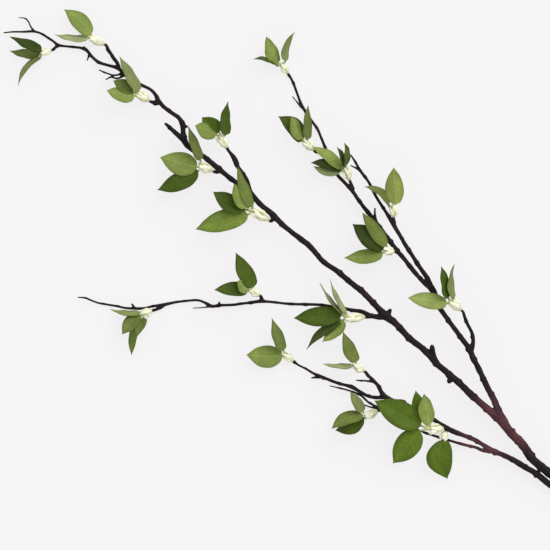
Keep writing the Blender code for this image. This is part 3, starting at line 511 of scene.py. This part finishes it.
def soften_forks(mesh):
    """Rounds the creases where stems meet; no point moves further than FORK_GIVE."""
    shape = bmesh.new()
    shape.from_mesh(mesh)
    near = set()
    cut = place(*TRUNK[0][:3])
    for edge in shape.edges:
        if len(edge.link_faces) == 2 and edge.calc_face_angle(0.0) > FORK_CREASE:
            if (edge.verts[0].co - cut).length > TRUNK[0][3] * MM:
                near.update(edge.verts)
    for _ in range(FORK_ROUNDS):
        near |= {edge.other_vert(point) for point in near for edge in point.link_edges}
    before = {point: point.co.copy() for point in near}
    for _ in range(FORK_PASSES):
        bmesh.ops.smooth_vert(
            shape, verts=list(near), factor=FORK_SHARE, use_axis_x=True, use_axis_y=True, use_axis_z=True)
    for point, place_before in before.items():
        moved = point.co - place_before
        if moved.length > FORK_GIVE * MM:
            point.co = place_before + moved.normalized() * FORK_GIVE * MM
    for point in shape.verts:
        point.co.z = max(point.co.z, 0.0)
    bmesh.ops.triangulate(shape, faces=[face for face in shape.faces if len(face.verts) > 4])
    shape.to_mesh(mesh)
    shape.free()


CUT_RIM = 0.5
CUT_FACING = 0.98


def finish_cut(mesh):
    """Gives the sawn end a rim of bark, an inner disc marked as cut wood and a middle point."""
    middle = place(*TRUNK[0][:3])
    way = (middle - place(*TRUNK[1][:3])).normalized()
    shape = bmesh.new()
    shape.from_mesh(mesh)
    marks = shape.verts.layers.float.new("cut")
    reach = TRUNK[0][3] * MM
    ends = [face for face in shape.faces
            if face.normal.dot(way) > CUT_FACING and (face.calc_center_median() - middle).length < reach]
    disc = bmesh.ops.dissolve_faces(shape, faces=ends)["region"]
    bmesh.ops.inset_region(shape, faces=disc, thickness=CUT_RIM * MM)
    for vert in bmesh.ops.poke(shape, faces=disc)["verts"]:
        vert[marks] = 1.0
        for edge in vert.link_edges:
            edge.other_vert(vert)[marks] = 1.0
    shape.to_mesh(mesh)
    shape.free()


RED_STRETCHES = (
    (488, 409, 13.5), (505, 423, 13), (518, 437, 12), (489, 450, 11), (470, 446, 9), (404, 403, 11.3),
)
RED_REACH = 14.0


def bark_marks(body, lines):
    """Stores on each bark point its place along and round its stem, its distance from the stem's middle and
    its redness."""
    total = sum(len(line[0]) for line in lines)
    tree = kdtree.KDTree(total)
    rows = []
    for line in lines:
        for middle, run, radius, across, up in zip(*line):
            tree.insert(middle, len(rows))
            rows.append((Vector(middle), run, radius, Vector(across), Vector(up)))
    tree.balance()
    stretches = [place(*spot) for spot in RED_STRETCHES]
    grain, ring, red = [], [], []
    for vertex in body.data.vertices:
        _, index, _ = tree.find(vertex.co)
        middle, run, radius, across, up = rows[index]
        out = vertex.co - middle
        angle = atan2(out.dot(up), out.dot(across))
        grain.append((cos(angle) * radius / MM, sin(angle) * radius / MM, run))
        ring.append(out.length / MM)
        nearest = min((vertex.co - spot).length for spot in stretches) / MM
        red.append(exp(-(nearest / RED_REACH) ** 2))
    give(body.data, "grain", "FLOAT_VECTOR", grain)
    give(body.data, "ring", "FLOAT", ring)
    give(body.data, "red", "FLOAT", red)


ROUTES_MEET = 1.5


def stem_plans():
    """Each stem's route, the sides round it and whether its foot flares. A whorl's twig that starts at the
    end of a stem carries that stem on."""
    plans = [[TRUNK, TRUNK_SIDES, False]]
    branches = (UPPER_BRANCH, INNER_BRANCH, LEFT_BRANCH, LOWER_BRANCH)
    twigs = (OUTER_TWIG, LOWER_LEFT_TWIG, BARE_TWIG, CROSSING_TWIG, *SPURS)
    plans += [[route, BRANCH_SIDES, True] for route in branches]
    plans += [[route, TWIG_SIDES, True] for route in twigs]
    for whorl in WHORLS:
        twig = twig_route(whorl)
        for plan in plans:
            if (Vector(plan[0][-1][:3]) - Vector(twig[0][:3])).length < ROUTES_MEET:
                plan[0] += twig[1:]
                break
        else:
            plans.append([twig, TWIG_SIDES, True])
    return plans


def make_bark():
    """The whole woody stem."""
    parts, lines = [], []
    for number, (route, sides, rooted) in enumerate(stem_plans()):
        points, faces, line = bark_tube(route, sides, number * STEM_SEED, rooted)
        parts.append(new_object("stem", points, faces))
        lines.append(line)
    body = joined("bark", parts)
    soften_forks(body.data)
    finish_cut(body.data)
    bark_marks(body, lines)
    body.data.shade_smooth()
    return body


# Collars: a ribbed cup of bud scales with small lobes between the leaf stalks.

CUP_SIDES = 30
CUP_PROFILE = (
    (-0.02, 0.34), (0.06, 0.42), (0.14, 0.55), (0.26, 0.76), (0.38, 0.92), (0.5, 1.0), (0.64, 1.0),
    (0.76, 0.97), (0.88, 0.9), (0.96, 0.8), (1.02, 0.66), (1.05, 0.45), (1.06, 0.2),
)
CUP_STEP = 0.45
SCALE_COUNT = 4
SCALE_RELIEF = 0.22
CUP_LUMPS = 0.32
LOBE_SIDES = 14
LOBE_WIDTH = 3.0
LOBE_LENGTH = 7.6
LOBE_ROOTED = 0.55
LOBE_LEAN = 1.5
CROWN_COUNT = 4
CROWN_LENGTH = 8.6
CROWN_WIDTH = 2.5
CROWN_TURN = 0.3
CROWN_LENGTHS = (0.88, 1.1)
CROWN_WIDTHS = (0.85, 1.2)
CROWN_LEANS = (-0.6, 1.0)
CROWN_TUCK = 0.3
SCALE_BOW = 0.9
LOBE_PROFILE = (
    (-0.02, 0.5), (0.08, 0.72), (0.22, 0.88), (0.4, 0.98), (0.58, 1.0), (0.74, 0.88), (0.87, 0.66),
    (0.96, 0.38), (1.0, 0.14),
)
LOBE_COUNT = 3
LOBE_CLEAR = radians(48.0)
LOBE_STEPS = 24
LOBE_BETTER = 0.001
COLLAR_SEED = 900


def stalk_line(whorl, leaf):
    """The hub's middle, the blade's base and the blade's tip."""
    _, mouth, ahead = whorl_axis(whorl)
    hub = mouth + ahead * (SEAT_GAP + HUB_LENGTH / 2) * MM
    tip = place(*leaf.tip)
    base = place(*leaf.base, 0.0)
    reach = (base - hub).xy.length / ((base - hub).xy.length + (tip - base).xy.length)
    base.z = hub.z + (tip.z - hub.z) * reach
    return hub, base, tip


def lobe_angles(whorl, across, up):
    """Angles round the collar's axis that lie furthest from the leaf stalks, widest gap first."""
    taken = []
    for leaf in whorl.leaves:
        hub, base, _ = stalk_line(whorl, leaf)
        out = (base - hub).normalized()
        taken.append(Vector((out.dot(across), out.dot(up))).normalized())
    chosen = []
    for _ in range(LOBE_COUNT):
        best = None
        for step in range(LOBE_STEPS):
            angle = 2 * pi * step / LOBE_STEPS
            way = Vector((cos(angle), sin(angle)))
            nearest = min(way.angle(other) for other in taken)
            if best is None or nearest > best[0] + LOBE_BETTER:
                best = (nearest, angle, way)
        if best[0] < LOBE_CLEAR:
            break
        chosen.append(best[1])
        taken.append(best[2])
    return chosen


def swept(middles, radii, across, up, sides, shape):
    """Points of a straight or leaning tube; shape(angle, index) scales the radius."""
    points = []
    for index, (middle, radius) in enumerate(zip(middles, radii)):
        for side in range(sides):
            angle = 2 * pi * side / sides
            points.append(middle + (across * cos(angle) + up * sin(angle)) * radius * shape(angle, index))
    return points


def bud_scale(mouth, ahead, across, up, girth, order, angle, length, width, lean):
    """One bud scale: a bowed, grooved tube from inside the cup out past its mouth."""
    way = across * cos(angle) + up * sin(angle)
    side_way = across * sin(angle) - up * cos(angle)
    out = girth / 2 - width / 2 - CROWN_TUCK * (lean < 1)
    foot = mouth - ahead * LOBE_LENGTH * LOBE_ROOTED * MM
    line = ahead * length + way * lean
    middles, radii = [], []
    for row in curve_through([(share * length, 0, 0, size) for share, size in LOBE_PROFILE], CUP_STEP):
        share = row[0] / length
        bow = SCALE_BOW * share * (1 - share)
        middles.append(foot + (way * (out + bow) + line * share) * MM)
        radii.append(row[3] * width * MM / 2)

    def grooved(turn, index):
        return 1 + 0.06 * cos(2 * turn + order) + 0.05 * cos(5 * turn)

    points = swept(middles, radii, side_way, way, LOBE_SIDES, grooved)
    return new_object("scale", points, ring_faces(len(middles), LOBE_SIDES))


def make_collar(number, whorl):
    """A collar's cup and lobes as one object, with how far along it each point is and a rib pattern."""
    root, mouth, ahead = whorl_axis(whorl)
    across, up = square_to(ahead)
    length = (mouth - root).length
    rows = curve_through([(share * length / MM, 0, 0, size) for share, size in CUP_PROFILE], CUP_STEP)
    middles = [root + ahead * row[0] * MM for row in rows]
    radii = [row[3] * whorl.girth * MM / 2 for row in rows]
    shares = [row[0] * MM / length for row in rows]

    def scaled(angle, index):
        grown = min(max(shares[index] * 1.6, 0.0), 1.0)
        rib = abs(cos(SCALE_COUNT * angle / 2 + number)) ** 0.7
        uneven = noise.noise((cos(angle) * 1.2, sin(angle) * 1.2, shares[index] * 2.5 + number))
        return 1 + SCALE_RELIEF * grown * (rib - 0.6) * 2 + CUP_LUMPS * grown * uneven

    points = swept(middles, radii, across, up, CUP_SIDES, scaled)
    parts = [new_object("cup", points, ring_faces(len(middles), CUP_SIDES))]
    scales = [(angle, LOBE_LENGTH, LOBE_WIDTH, LOBE_LEAN) for angle in lobe_angles(whorl, across, up)]
    draw = np.random.default_rng(COLLAR_SEED + number)
    for order in range(CROWN_COUNT):
        angle = 2 * pi * (order + draw.uniform(-CROWN_TURN, CROWN_TURN)) / CROWN_COUNT
        length_now = CROWN_LENGTH * draw.uniform(*CROWN_LENGTHS)
        width_now = CROWN_WIDTH * draw.uniform(*CROWN_WIDTHS)
        scales.append((angle, length_now, width_now, draw.uniform(*CROWN_LEANS)))
    for order, scale in enumerate(scales):
        parts.append(bud_scale(mouth, ahead, across, up, whorl.girth, order, *scale))
    body = joined(f"bud_collar_{number:02d}", parts)
    smooth_runs = [row[0] * MM for row in rows]
    reach, turns, hollow_shade = [], [], []
    for vertex in body.data.vertices:
        offset = vertex.co - root
        along = offset.dot(ahead)
        out = offset - ahead * along
        reach.append(along / length)
        turns.append(atan2(out.dot(up), out.dot(across)))
        # how far the point lies sunk inside the cup's smooth outline; the material paints shade there
        hollow_shade.append(1 - out.length / np.interp(along, smooth_runs, radii))
    give(body.data, "reach", "FLOAT", reach)
    give(body.data, "turn", "FLOAT", turns)
    give(body.data, "hollow_shade", "FLOAT", hollow_shade)
    body.data.shade_smooth()
    return body


# Leaves: each a stalk that widens into a thin veined blade, in one closed skin.

STALK_RADIUS = 0.95
STALK_ROWS = 9
BLADE_ROWS = 46
BLADE_COLUMNS = 29
SKIN_MIDDLE = 0.34
SKIN_EDGE = 0.15
VEINS = 6.0
VEIN_SLANT = 0.26
QUILT_DEPTH = 0.16
RIB_HEIGHT = 0.34
RIB_WIDTH = 0.75
GROOVE_DEPTH = 0.2
WAVE_SIZE = 0.035
WAVE_COUNTS = (1.5, 2.4)
WAVE_SHARES = (0.5, 1.0)
FOLD_SHARES = (0.85, 1.2)
FOLD_ROUND = 0.012
FOLD_DROP = 0.11
EDGE_CURL = -0.10
SHADES = (0.93, 1.07)
STALK_BOW = 0.25
BASE_TAPER = 8
TIP_HALF = 0.12
LEAF_SEED = 400
HUB_SIDES = 16
HUB_RADIUS = 1.25
HUB_PROFILE = ((-0.6, 0.5), (0.0, 1.0), (1.0, 1.15), (1.9, 0.95), (2.5, 0.45))
HUB_MARK = (0.0, -8.0, 0.0)
BETWEEN_VEINS = 0.5
LEAF_MARKS = (("blade", "FLOAT_VECTOR"), ("vein", "FLOAT"), ("tone", "FLOAT_COLOR"), ("margin", "FLOAT"))
LEAF_OUTLINE = (
    (0.0, 0.0), (0.02, 0.24), (0.05, 0.42), (0.1, 0.62), (0.16, 0.77), (0.24, 0.9), (0.32, 0.975),
    (0.4, 1.0), (0.5, 0.985), (0.6, 0.92), (0.7, 0.79), (0.78, 0.63), (0.85, 0.44), (0.9, 0.28),
    (0.945, 0.14), (0.975, 0.06), (1.0, 0.0),
)
FLAT_PEAK = 0.4
PEAK_DROP = 0.0024
# Upper and under leaf colours: partly their own colour, partly painted light and shade on each leaf.
TONES = {
    "deep": ((0.024, 0.041, 0.004), (0.114, 0.157, 0.036)),
    "dark": ((0.049, 0.079, 0.008), (0.143, 0.186, 0.043)),
    "green": ((0.064, 0.107, 0.009), (0.171, 0.214, 0.050)),
    "mid": ((0.087, 0.133, 0.013), (0.186, 0.229, 0.057)),
    "soft": ((0.107, 0.141, 0.033), (0.186, 0.229, 0.064)),
    "fresh": ((0.127, 0.179, 0.030), (0.200, 0.243, 0.064)),
    "sage": ((0.154, 0.187, 0.064), (0.200, 0.236, 0.086)),
    "light": ((0.064, 0.100, 0.011), (0.179, 0.236, 0.057)),
    "bright": ((0.064, 0.100, 0.011), (0.207, 0.264, 0.075)),
    "yellow": ((0.064, 0.107, 0.011), (0.189, 0.229, 0.057)),
    "olive": ((0.057, 0.086, 0.011), (0.154, 0.193, 0.064)),
    "moss": ((0.057, 0.086, 0.011), (0.114, 0.150, 0.034)),
    "pale": ((0.064, 0.093, 0.014), (0.236, 0.275, 0.125)),
}
STALK_TONE = (0.42, 0.48, 0.22)
HUB_TONE = (0.26, 0.32, 0.11)


OUTLINE_CURVE = curve_through([(share, 0.0, 0.0, width) for share, width in LEAF_OUTLINE], 0.004)


def outline_width(share, roll):
    """The blade's half width at a share of its length, as a share of its greatest: a rolled blade is widest
    nearer its base."""
    peak = FLAT_PEAK - PEAK_DROP * abs(roll)
    shifted = share ** (log(FLAT_PEAK) / log(peak))
    return float(np.interp(shifted, OUTLINE_CURVE[:, 0], OUTLINE_CURVE[:, 3]))


def blade_shares():
    """Rows along the blade, close together at its base and tip."""
    even = np.linspace(0.0, 1.0, BLADE_ROWS + 1)[1:]
    return 0.5 - 0.5 * np.cos(pi * even) * (0.55 + 0.45 * np.abs(np.cos(pi * even)))


def make_leaf(whorl, leaf, draw):
    """The points of a leaf's skin, ring by ring, each with its place on the blade, its place between two side
    veins, its tone and how near the margin it is."""
    hub, base, tip = stalk_line(whorl, leaf)
    along = (tip - base).normalized()
    flat_left = Vector((0, 0, 1)).cross(along).normalized()
    left = Matrix.Rotation(radians(leaf.roll), 3, along) @ flat_left
    inner = along.cross(left)
    if leaf.side == "under":
        left, inner = -left, -inner
    length = (tip - base).length / MM
    half_width = leaf.width / 2
    wave_turn = draw.uniform(0, 2 * pi, 2)
    wave_count = draw.uniform(*WAVE_COUNTS, 2)
    wave_size = WAVE_SIZE * leaf.width * draw.uniform(*WAVE_SHARES)
    fold = BLADE_FOLD * draw.uniform(*FOLD_SHARES)
    upper_tone, under_tone = TONES[leaf.tone]
    shade = draw.uniform(*SHADES)
    columns = np.linspace(-1.0, 1.0, BLADE_COLUMNS)
    columns = np.sign(columns) * (0.4 * np.abs(columns) + 0.6 * np.abs(columns) ** 1.6)
    rows = []
    stalk = (base - hub).normalized()
    span = (base - hub).length
    for step in range(STALK_ROWS):
        share = step / STALK_ROWS
        middle = hub.lerp(base, share) + (stalk - along) * span * STALK_BOW * share * (1 - share)
        way = stalk.lerp(along, share).normalized()
        side_way = (left - way * left.dot(way)).normalized()
        up_way = (inner - way * inner.dot(way) - side_way * inner.dot(side_way)).normalized()
        radius = STALK_RADIUS * (1.5 - 0.5 * share)
        before = span / MM * (1 - share)
        greener = share ** 2
        tone = [s * (1 - greener) + t * greener for s, t in zip(STALK_TONE, under_tone)]
        for lower in (False, True):
            for order in range(BLADE_COLUMNS):
                turn = pi * (order + 0.5) / BLADE_COLUMNS
                turn = -turn if lower else pi - turn
                x, y = cos(turn) * radius, sin(turn) * radius
                point = middle + (side_way * x + up_way * y) * MM
                rows.append((point, (x, -before, 0.0 if lower else 1.0), BETWEEN_VEINS, (*tone, 1.0), 0.0))
    for share in blade_shares():
        half = half_width * outline_width(share, leaf.roll) + STALK_RADIUS * max(0.0, 1 - share * BASE_TAPER)
        half = max(half, TIP_HALF)
        arch = BLADE_ARCH * length * 4 * share * (1 - share)
        swing = leaf.bend * 4 * share * (1 - share)
        row_middle = base + (along * length * share + inner * arch + flat_left * swing) * MM
        rib_fade = max(0.0, 1 - share) ** 0.6
        edge_fade = sin(pi * min(share * 1.02, 1.0)) ** 0.5 if share < 0.98 else 0.1
        for lower in (False, True):
            for u in columns[::-1] if lower else columns:
                size = abs(u)
                x = u * half
                rise = fold * half * (np.sqrt(size ** 2 + FOLD_ROUND) - FOLD_DROP)
                curl = EDGE_CURL * half * size ** 4
                side = 0 if u < 0 else 1
                swell = sin(2 * pi * wave_count[side] * share + wave_turn[side])
                wave = wave_size * size ** 2 * swell * edge_fade
                phase = (share - VEIN_SLANT * size ** 1.3 * (1 - 0.4 * share)) * VEINS * (1.0 + 0.25 * share)
                fade = size ** 0.5 * (1 - size ** 6) * edge_fade
                quilt = QUILT_DEPTH * (0.5 + 0.5 * cos(2 * pi * phase)) * fade
                skin = SKIN_EDGE + (SKIN_MIDDLE - SKIN_EDGE) * (1 - size ** 3)
                skin *= 0.35 + 0.65 * min(1.0, half / 2.0)
                rib = exp(-(x / RIB_WIDTH) ** 2) * rib_fade
                height = rise + curl + wave - quilt
                height = height - skin - RIB_HEIGHT * rib if lower else height + skin - GROOVE_DEPTH * rib
                point = row_middle + (left * x * cos(fold) + inner * height) * MM
                margin = 1 - (1 - size) * (1 - share ** 3)
                tone = [value * shade for value in (under_tone if lower else upper_tone)]
                rows.append((point, (x, share * length, 0.0 if lower else 1.0), phase, (*tone, 1.0), margin))
    return rows


def make_whorl(number, whorl):
    """A whorl's hub and leaves as one object."""
    draw = np.random.default_rng(LEAF_SEED + number)
    rows, faces = [], []

    def grow(skin, sides):
        """Adds a closed skin of rings with so many points each."""
        first = len(rows)
        rows.extend(skin)
        for face in ring_faces(len(skin) // sides, sides):
            faces.append(tuple(corner + first for corner in face))

    for leaf in whorl.leaves:
        grow(make_leaf(whorl, leaf, draw), BLADE_COLUMNS * 2)
    _, mouth, ahead = whorl_axis(whorl)
    middles = [mouth + ahead * (SEAT_GAP + run) * MM for run, _ in HUB_PROFILE]
    radii = [size * HUB_RADIUS * MM for _, size in HUB_PROFILE]
    hub = swept(middles, radii, *square_to(ahead), HUB_SIDES, lambda angle, index: 1.0)
    grow([(point, HUB_MARK, BETWEEN_VEINS, (*HUB_TONE, 1.0), 0.0) for point in hub], HUB_SIDES)
    points, *marks = zip(*rows)
    kept = [(*kind, values) for kind, values in zip(LEAF_MARKS, marks)]
    return new_object(f"leaf_whorl_{number:02d}", points, faces, kept)


# Materials.


def feed(socket, source):
    """Links a socket to its source, or sets its value; a colour gets its alpha."""
    if isinstance(source, bpy.types.NodeSocket):
        socket.id_data.links.new(source, socket)
    else:
        socket.default_value = (*source, 1.0) if socket.type == "RGBA" else source


def new_material(name):
    """An empty node material, its shader and a function that adds nodes to it."""
    made = bpy.data.materials.new(name)
    made.use_nodes = True
    tree = made.node_tree
    shader = tree.nodes["Principled BSDF"]

    def add(kind, links=(), **values):
        """Adds a node; values set its properties, links are (input, source socket or value)."""
        node = tree.nodes.new("ShaderNode" + kind)
        for key, value in values.items():
            setattr(node, key, value)
        for key, source in links:
            feed(node.inputs[key], source)
        return node

    return made, shader, add


def mix(add, share, first, second, blend="MIX"):
    """A colour between two colours, or the first one blended with the second."""
    node = add("Mix", data_type="RGBA", blend_type=blend)
    sockets = [socket for socket in node.inputs if socket.enabled]
    for socket, source in zip(sockets, (share, first, second)):
        feed(socket, source)
    return next(socket for socket in node.outputs if socket.enabled)


def calc(add, operation, *values, clamp=False):
    """The result of a math node."""
    node = add("Math", operation=operation, use_clamp=clamp)
    for socket, source in zip(node.inputs, values):
        feed(socket, source)
    return node.outputs[0]


def times(add, first, second):
    """The product of two values."""
    return calc(add, "MULTIPLY", first, second)


def plus(add, first, second, clamp=False):
    """The sum of two values."""
    return calc(add, "ADD", first, second, clamp=clamp)


def band(add, value, low, high, start=0.0, end=1.0):
    """The value mapped smoothly from low..high to start..end."""
    ends = (("Value", value), ("From Min", low), ("From Max", high), ("To Min", start), ("To Max", end))
    return add("MapRange", ends, interpolation_type="SMOOTHSTEP").outputs["Result"]


def stored(add, label, output="Fac"):
    """A value kept on the mesh."""
    return add("Attribute", attribute_name=label).outputs[output]


def grainy(add, vector, scale, detail, roughness=0.5):
    """The value of a noise texture."""
    values = (("Vector", vector), ("Scale", scale), ("Detail", detail), ("Roughness", roughness))
    return add("TexNoise", values).outputs["Fac"]


def stretched(add, vector, scales):
    """A vector scaled along each axis."""
    return add("Mapping", (("Vector", vector), ("Scale", scales))).outputs["Vector"]


def finish(add, shader, colour, height, strength, depth):
    """Gives a shader its colour and its fine relief."""
    feed(shader.inputs["Base Color"], colour)
    bump = add("Bump", (("Height", height), ("Strength", strength), ("Distance", depth)))
    feed(shader.inputs["Normal"], bump.outputs["Normal"])


def bark_material():
    """Dark bark with streaks along the stem, pale specks, redder wood at the forks and a sawn end."""
    made, shader, add = new_material("bark")
    grain = stored(add, "grain", "Vector")
    streaked = stretched(add, grain, (1.0, 1.0, 0.16))
    streak = grainy(add, streaked, 1.1, 5.0, 0.6)
    patch = grainy(add, grain, 0.11, 3.0, 0.55)
    speck_place = stretched(add, grain, (0.55, 0.55, 0.9))
    speck = add("TexVoronoi", (("Vector", speck_place), ("Scale", 0.8), ("Randomness", 1.0)), feature="F1")
    speck_on = band(add, speck.outputs["Distance"], 0.16, 0.07)
    base = mix(add, band(add, streak, 0.3, 0.72), (0.005, 0.003, 0.0036), (0.0165, 0.009, 0.0096))
    patchy = band(add, patch, 0.54, 0.74, 0.0, 0.22)
    redness = plus(add, times(add, stored(add, "red"), 0.9), patchy, clamp=True)
    reddish = mix(add, band(add, streak, 0.25, 0.75), (0.040, 0.012, 0.015), (0.135, 0.047, 0.059))
    coloured = mix(add, redness, base, reddish)
    speckled = mix(add, times(add, speck_on, 0.5), coloured, (0.066, 0.047, 0.045))
    ring = stored(add, "ring")
    wavy = plus(add, times(add, ring, 5.5), times(add, streak, 3.0))
    year = band(add, calc(add, "SINE", wavy), -0.6, 1.0)
    sawn = mix(add, year, (0.40, 0.27, 0.14), (0.20, 0.12, 0.06))
    sawn = mix(add, band(add, ring, 1.2, 0.4), sawn, (0.09, 0.05, 0.03))
    colour = mix(add, band(add, stored(add, "cut"), 0.5, 0.9), speckled, sawn)
    fine = grainy(add, streaked, 3.2, 4.0, 0.65)
    height = plus(add, streak, times(add, fine, 0.5))
    height = plus(add, height, times(add, speck_on, 0.25))
    finish(add, shader, colour, height, 0.55, 0.0005)
    feed(shader.inputs["Roughness"], band(add, streak, 0.2, 0.8, 0.82, 0.55))
    shader.inputs["Specular IOR Level"].default_value = 0.14
    return made


def collar_material():
    """Matte cream bud scales: greener at the root, with painted shade there, in grooves and in recesses."""
    made, shader, add = new_material("bud_cream")
    reach = stored(add, "reach")
    where = add("TexCoord").outputs["Object"]
    patch = grainy(add, where, 260.0, 3.0)
    fine = grainy(add, where, 1500.0, 3.0)
    rib = calc(add, "COSINE", times(add, stored(add, "turn"), 16.0))
    root_tint = band(add, reach, 0.45, -0.05)
    cream = mix(add, band(add, patch, 0.35, 0.7), (0.82, 0.81, 0.64), (0.66, 0.68, 0.43))
    # darker olive towards the root: partly the scales' greener base, partly painted shade
    cream = mix(add, times(add, root_tint, 0.7), cream, (0.38, 0.38, 0.17))
    cream = mix(add, band(add, reach, 0.95, 1.35, 0.0, 0.6), cream, (0.90, 0.90, 0.83))
    # painted shade in the grooves between the ribs
    cream = mix(add, times(add, band(add, rib, 0.4, 1.0), 0.2), cream, (0.52, 0.55, 0.32))
    # painted shade where the skin lies sunk inside the cup's smooth outline
    cream = mix(add, band(add, stored(add, "hollow_shade"), -0.04, 0.2, 0.0, 0.85), cream, (0.27, 0.31, 0.12))
    finish(add, shader, cream, plus(add, times(add, rib, -0.25), fine), 0.35, 0.0003)
    shader.inputs["Roughness"].default_value = 0.6
    shader.inputs["Specular IOR Level"].default_value = 0.35
    return made


def leaf_material():
    """A thin leaf: dark and faintly waxy above, pale and matte below, with a midrib and side veins."""
    made, shader, add = new_material("leaf_green")
    blade = stored(add, "blade", "Vector")
    apart = add("SeparateXYZ", (("Vector", blade),)).outputs
    patch = grainy(add, add("TexCoord").outputs["Object"], 90.0, 3.0)
    mottle = grainy(add, blade, 0.5, 4.0, 0.6)
    net = add("TexVoronoi", (("Vector", blade), ("Scale", 0.85)), feature="DISTANCE_TO_EDGE")
    midrib = band(add, calc(add, "ABSOLUTE", apart["X"]), 0.62, 0.28)
    cycle = calc(add, "PINGPONG", plus(add, stored(add, "vein"), 100.0), 0.5)
    side_vein = times(add, band(add, cycle, 0.075, 0.02), band(add, apart["Y"], -0.5, 1.0))
    net_line = band(add, net.outputs["Distance"], 0.07, 0.0)
    lighter, darker, vein_tint = (1.45, 1.38, 1.3), (0.6, 0.66, 0.55), (1.7, 1.55, 1.9)
    colour = stored(add, "tone", "Color")
    for share, tint in (
        (band(add, patch, 0.35, 0.7, 0.0, 0.5), lighter),
        (band(add, mottle, 0.42, 0.75, 0.0, 0.45), darker),
        # painted shade: darker towards each leaf's margin
        (band(add, stored(add, "margin"), 0.55, 1.0, 0.0, 0.6), darker),
        (times(add, band(add, cycle, 0.5, 0.15), 0.1), lighter),
        (times(add, side_vein, 0.18), vein_tint),
        (times(add, net_line, 0.08), vein_tint),
        (times(add, midrib, 0.35), vein_tint),
    ):
        colour = mix(add, share, colour, tint, "MULTIPLY")
    height = plus(add, times(add, net_line, -0.5), times(add, side_vein, -1.0))
    finish(add, shader, colour, plus(add, height, times(add, mottle, 0.6)), 0.3, 0.0003)
    feed(shader.inputs["Roughness"], band(add, apart["Z"], 0.0, 1.0, 0.72, 0.48))
    shader.inputs["Specular IOR Level"].default_value = 0.09
    return made


def floor_material():
    """A plain near-white surface."""
    made, shader, _ = new_material("pale_floor")
    shader.inputs["Base Color"].default_value = (0.107, 0.106, 0.107, 1.0)
    shader.inputs["Emission Color"].default_value = (1.0, 0.984, 0.992, 1.0)
    shader.inputs["Emission Strength"].default_value = 0.795
    shader.inputs["Roughness"].default_value = 1.0
    shader.inputs["Specular IOR Level"].default_value = 0.0
    return made


# Camera, floor and light.

CAMERA_DISTANCE = 4.0
CAMERA_FOCUS_HEIGHT = 18.0
SENSOR_WIDTH = 36.0
FLOOR_RADIUS = 60.0
WORLD_STRENGTH = 0.84
KEY_STRENGTH = 1.89
KEY_SPREAD = radians(60.0)
KEY_RIGHT, KEY_BACK, KEY_HEIGHT = 650, 850, 1100


def make_camera():
    """A long lens straight above the middle of the view."""
    data = bpy.data.cameras.new("camera")
    data.sensor_width = SENSOR_WIDTH
    data.lens = SENSOR_WIDTH * CAMERA_DISTANCE / (VIEW_SPAN * MM)
    data.clip_end = 50.0
    made = put("camera", data)
    made.location = place(VIEW_MIDDLE, VIEW_MIDDLE, CAMERA_FOCUS_HEIGHT) + Vector((0, 0, CAMERA_DISTANCE))
    made.rotation_euler = (0.0, 0.0, PLAN_TURN)
    bpy.context.scene.camera = made


def make_floor():
    """A wide pale floor at the height the branch lies on."""
    mesh = bpy.data.meshes.new("floor")
    corners = ((-1, -1), (1, -1), (1, 1), (-1, 1))
    mesh.from_pydata([(x * FLOOR_RADIUS, y * FLOOR_RADIUS, 0) for x, y in corners], [], [(0, 1, 2, 3)])
    mesh.materials.append(floor_material())
    made = put("floor", mesh)


def make_light():
    """Soft white light from all round, and a wide soft light from the upper right of the view."""
    world = bpy.data.worlds.new("world")
    world.use_nodes = True
    back = world.node_tree.nodes["Background"]
    back.inputs["Color"].default_value = (1.0, 0.995, 1.0, 1.0)
    back.inputs["Strength"].default_value = WORLD_STRENGTH
    bpy.context.scene.world = world
    data = bpy.data.lights.new("key", "SUN")
    data.energy = KEY_STRENGTH
    data.angle = KEY_SPREAD
    made = put("key", data)
    from_way = place(PLAN_MIDDLE_X + KEY_RIGHT, PLAN_MIDDLE_Y - KEY_BACK, KEY_HEIGHT).normalized()
    made.rotation_euler = from_way.to_track_quat("Z", "Y").to_euler()
    bpy.context.scene.view_settings.view_transform = "Standard"


def dress(piece, material, slot_name, *nodes):
    """Gives a piece its material and ties it to the frame."""
    piece.data.materials.clear()
    piece.data.materials.append(material)
    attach(piece, "root")
    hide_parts(*nodes)


def main():
    """The whole scene."""
    make_camera()
    make_floor()
    make_light()
    dress(make_bark(), bark_material(), "bark", "wood")
    cream = collar_material()
    green = leaf_material()
    for number, whorl in enumerate(WHORLS, 1):
        dress(make_collar(number, whorl), cream, "collar", f"collar_{number:02d}")
        dress(make_whorl(number, whorl), green, "leaf", f"leaves_{number:02d}")


main()
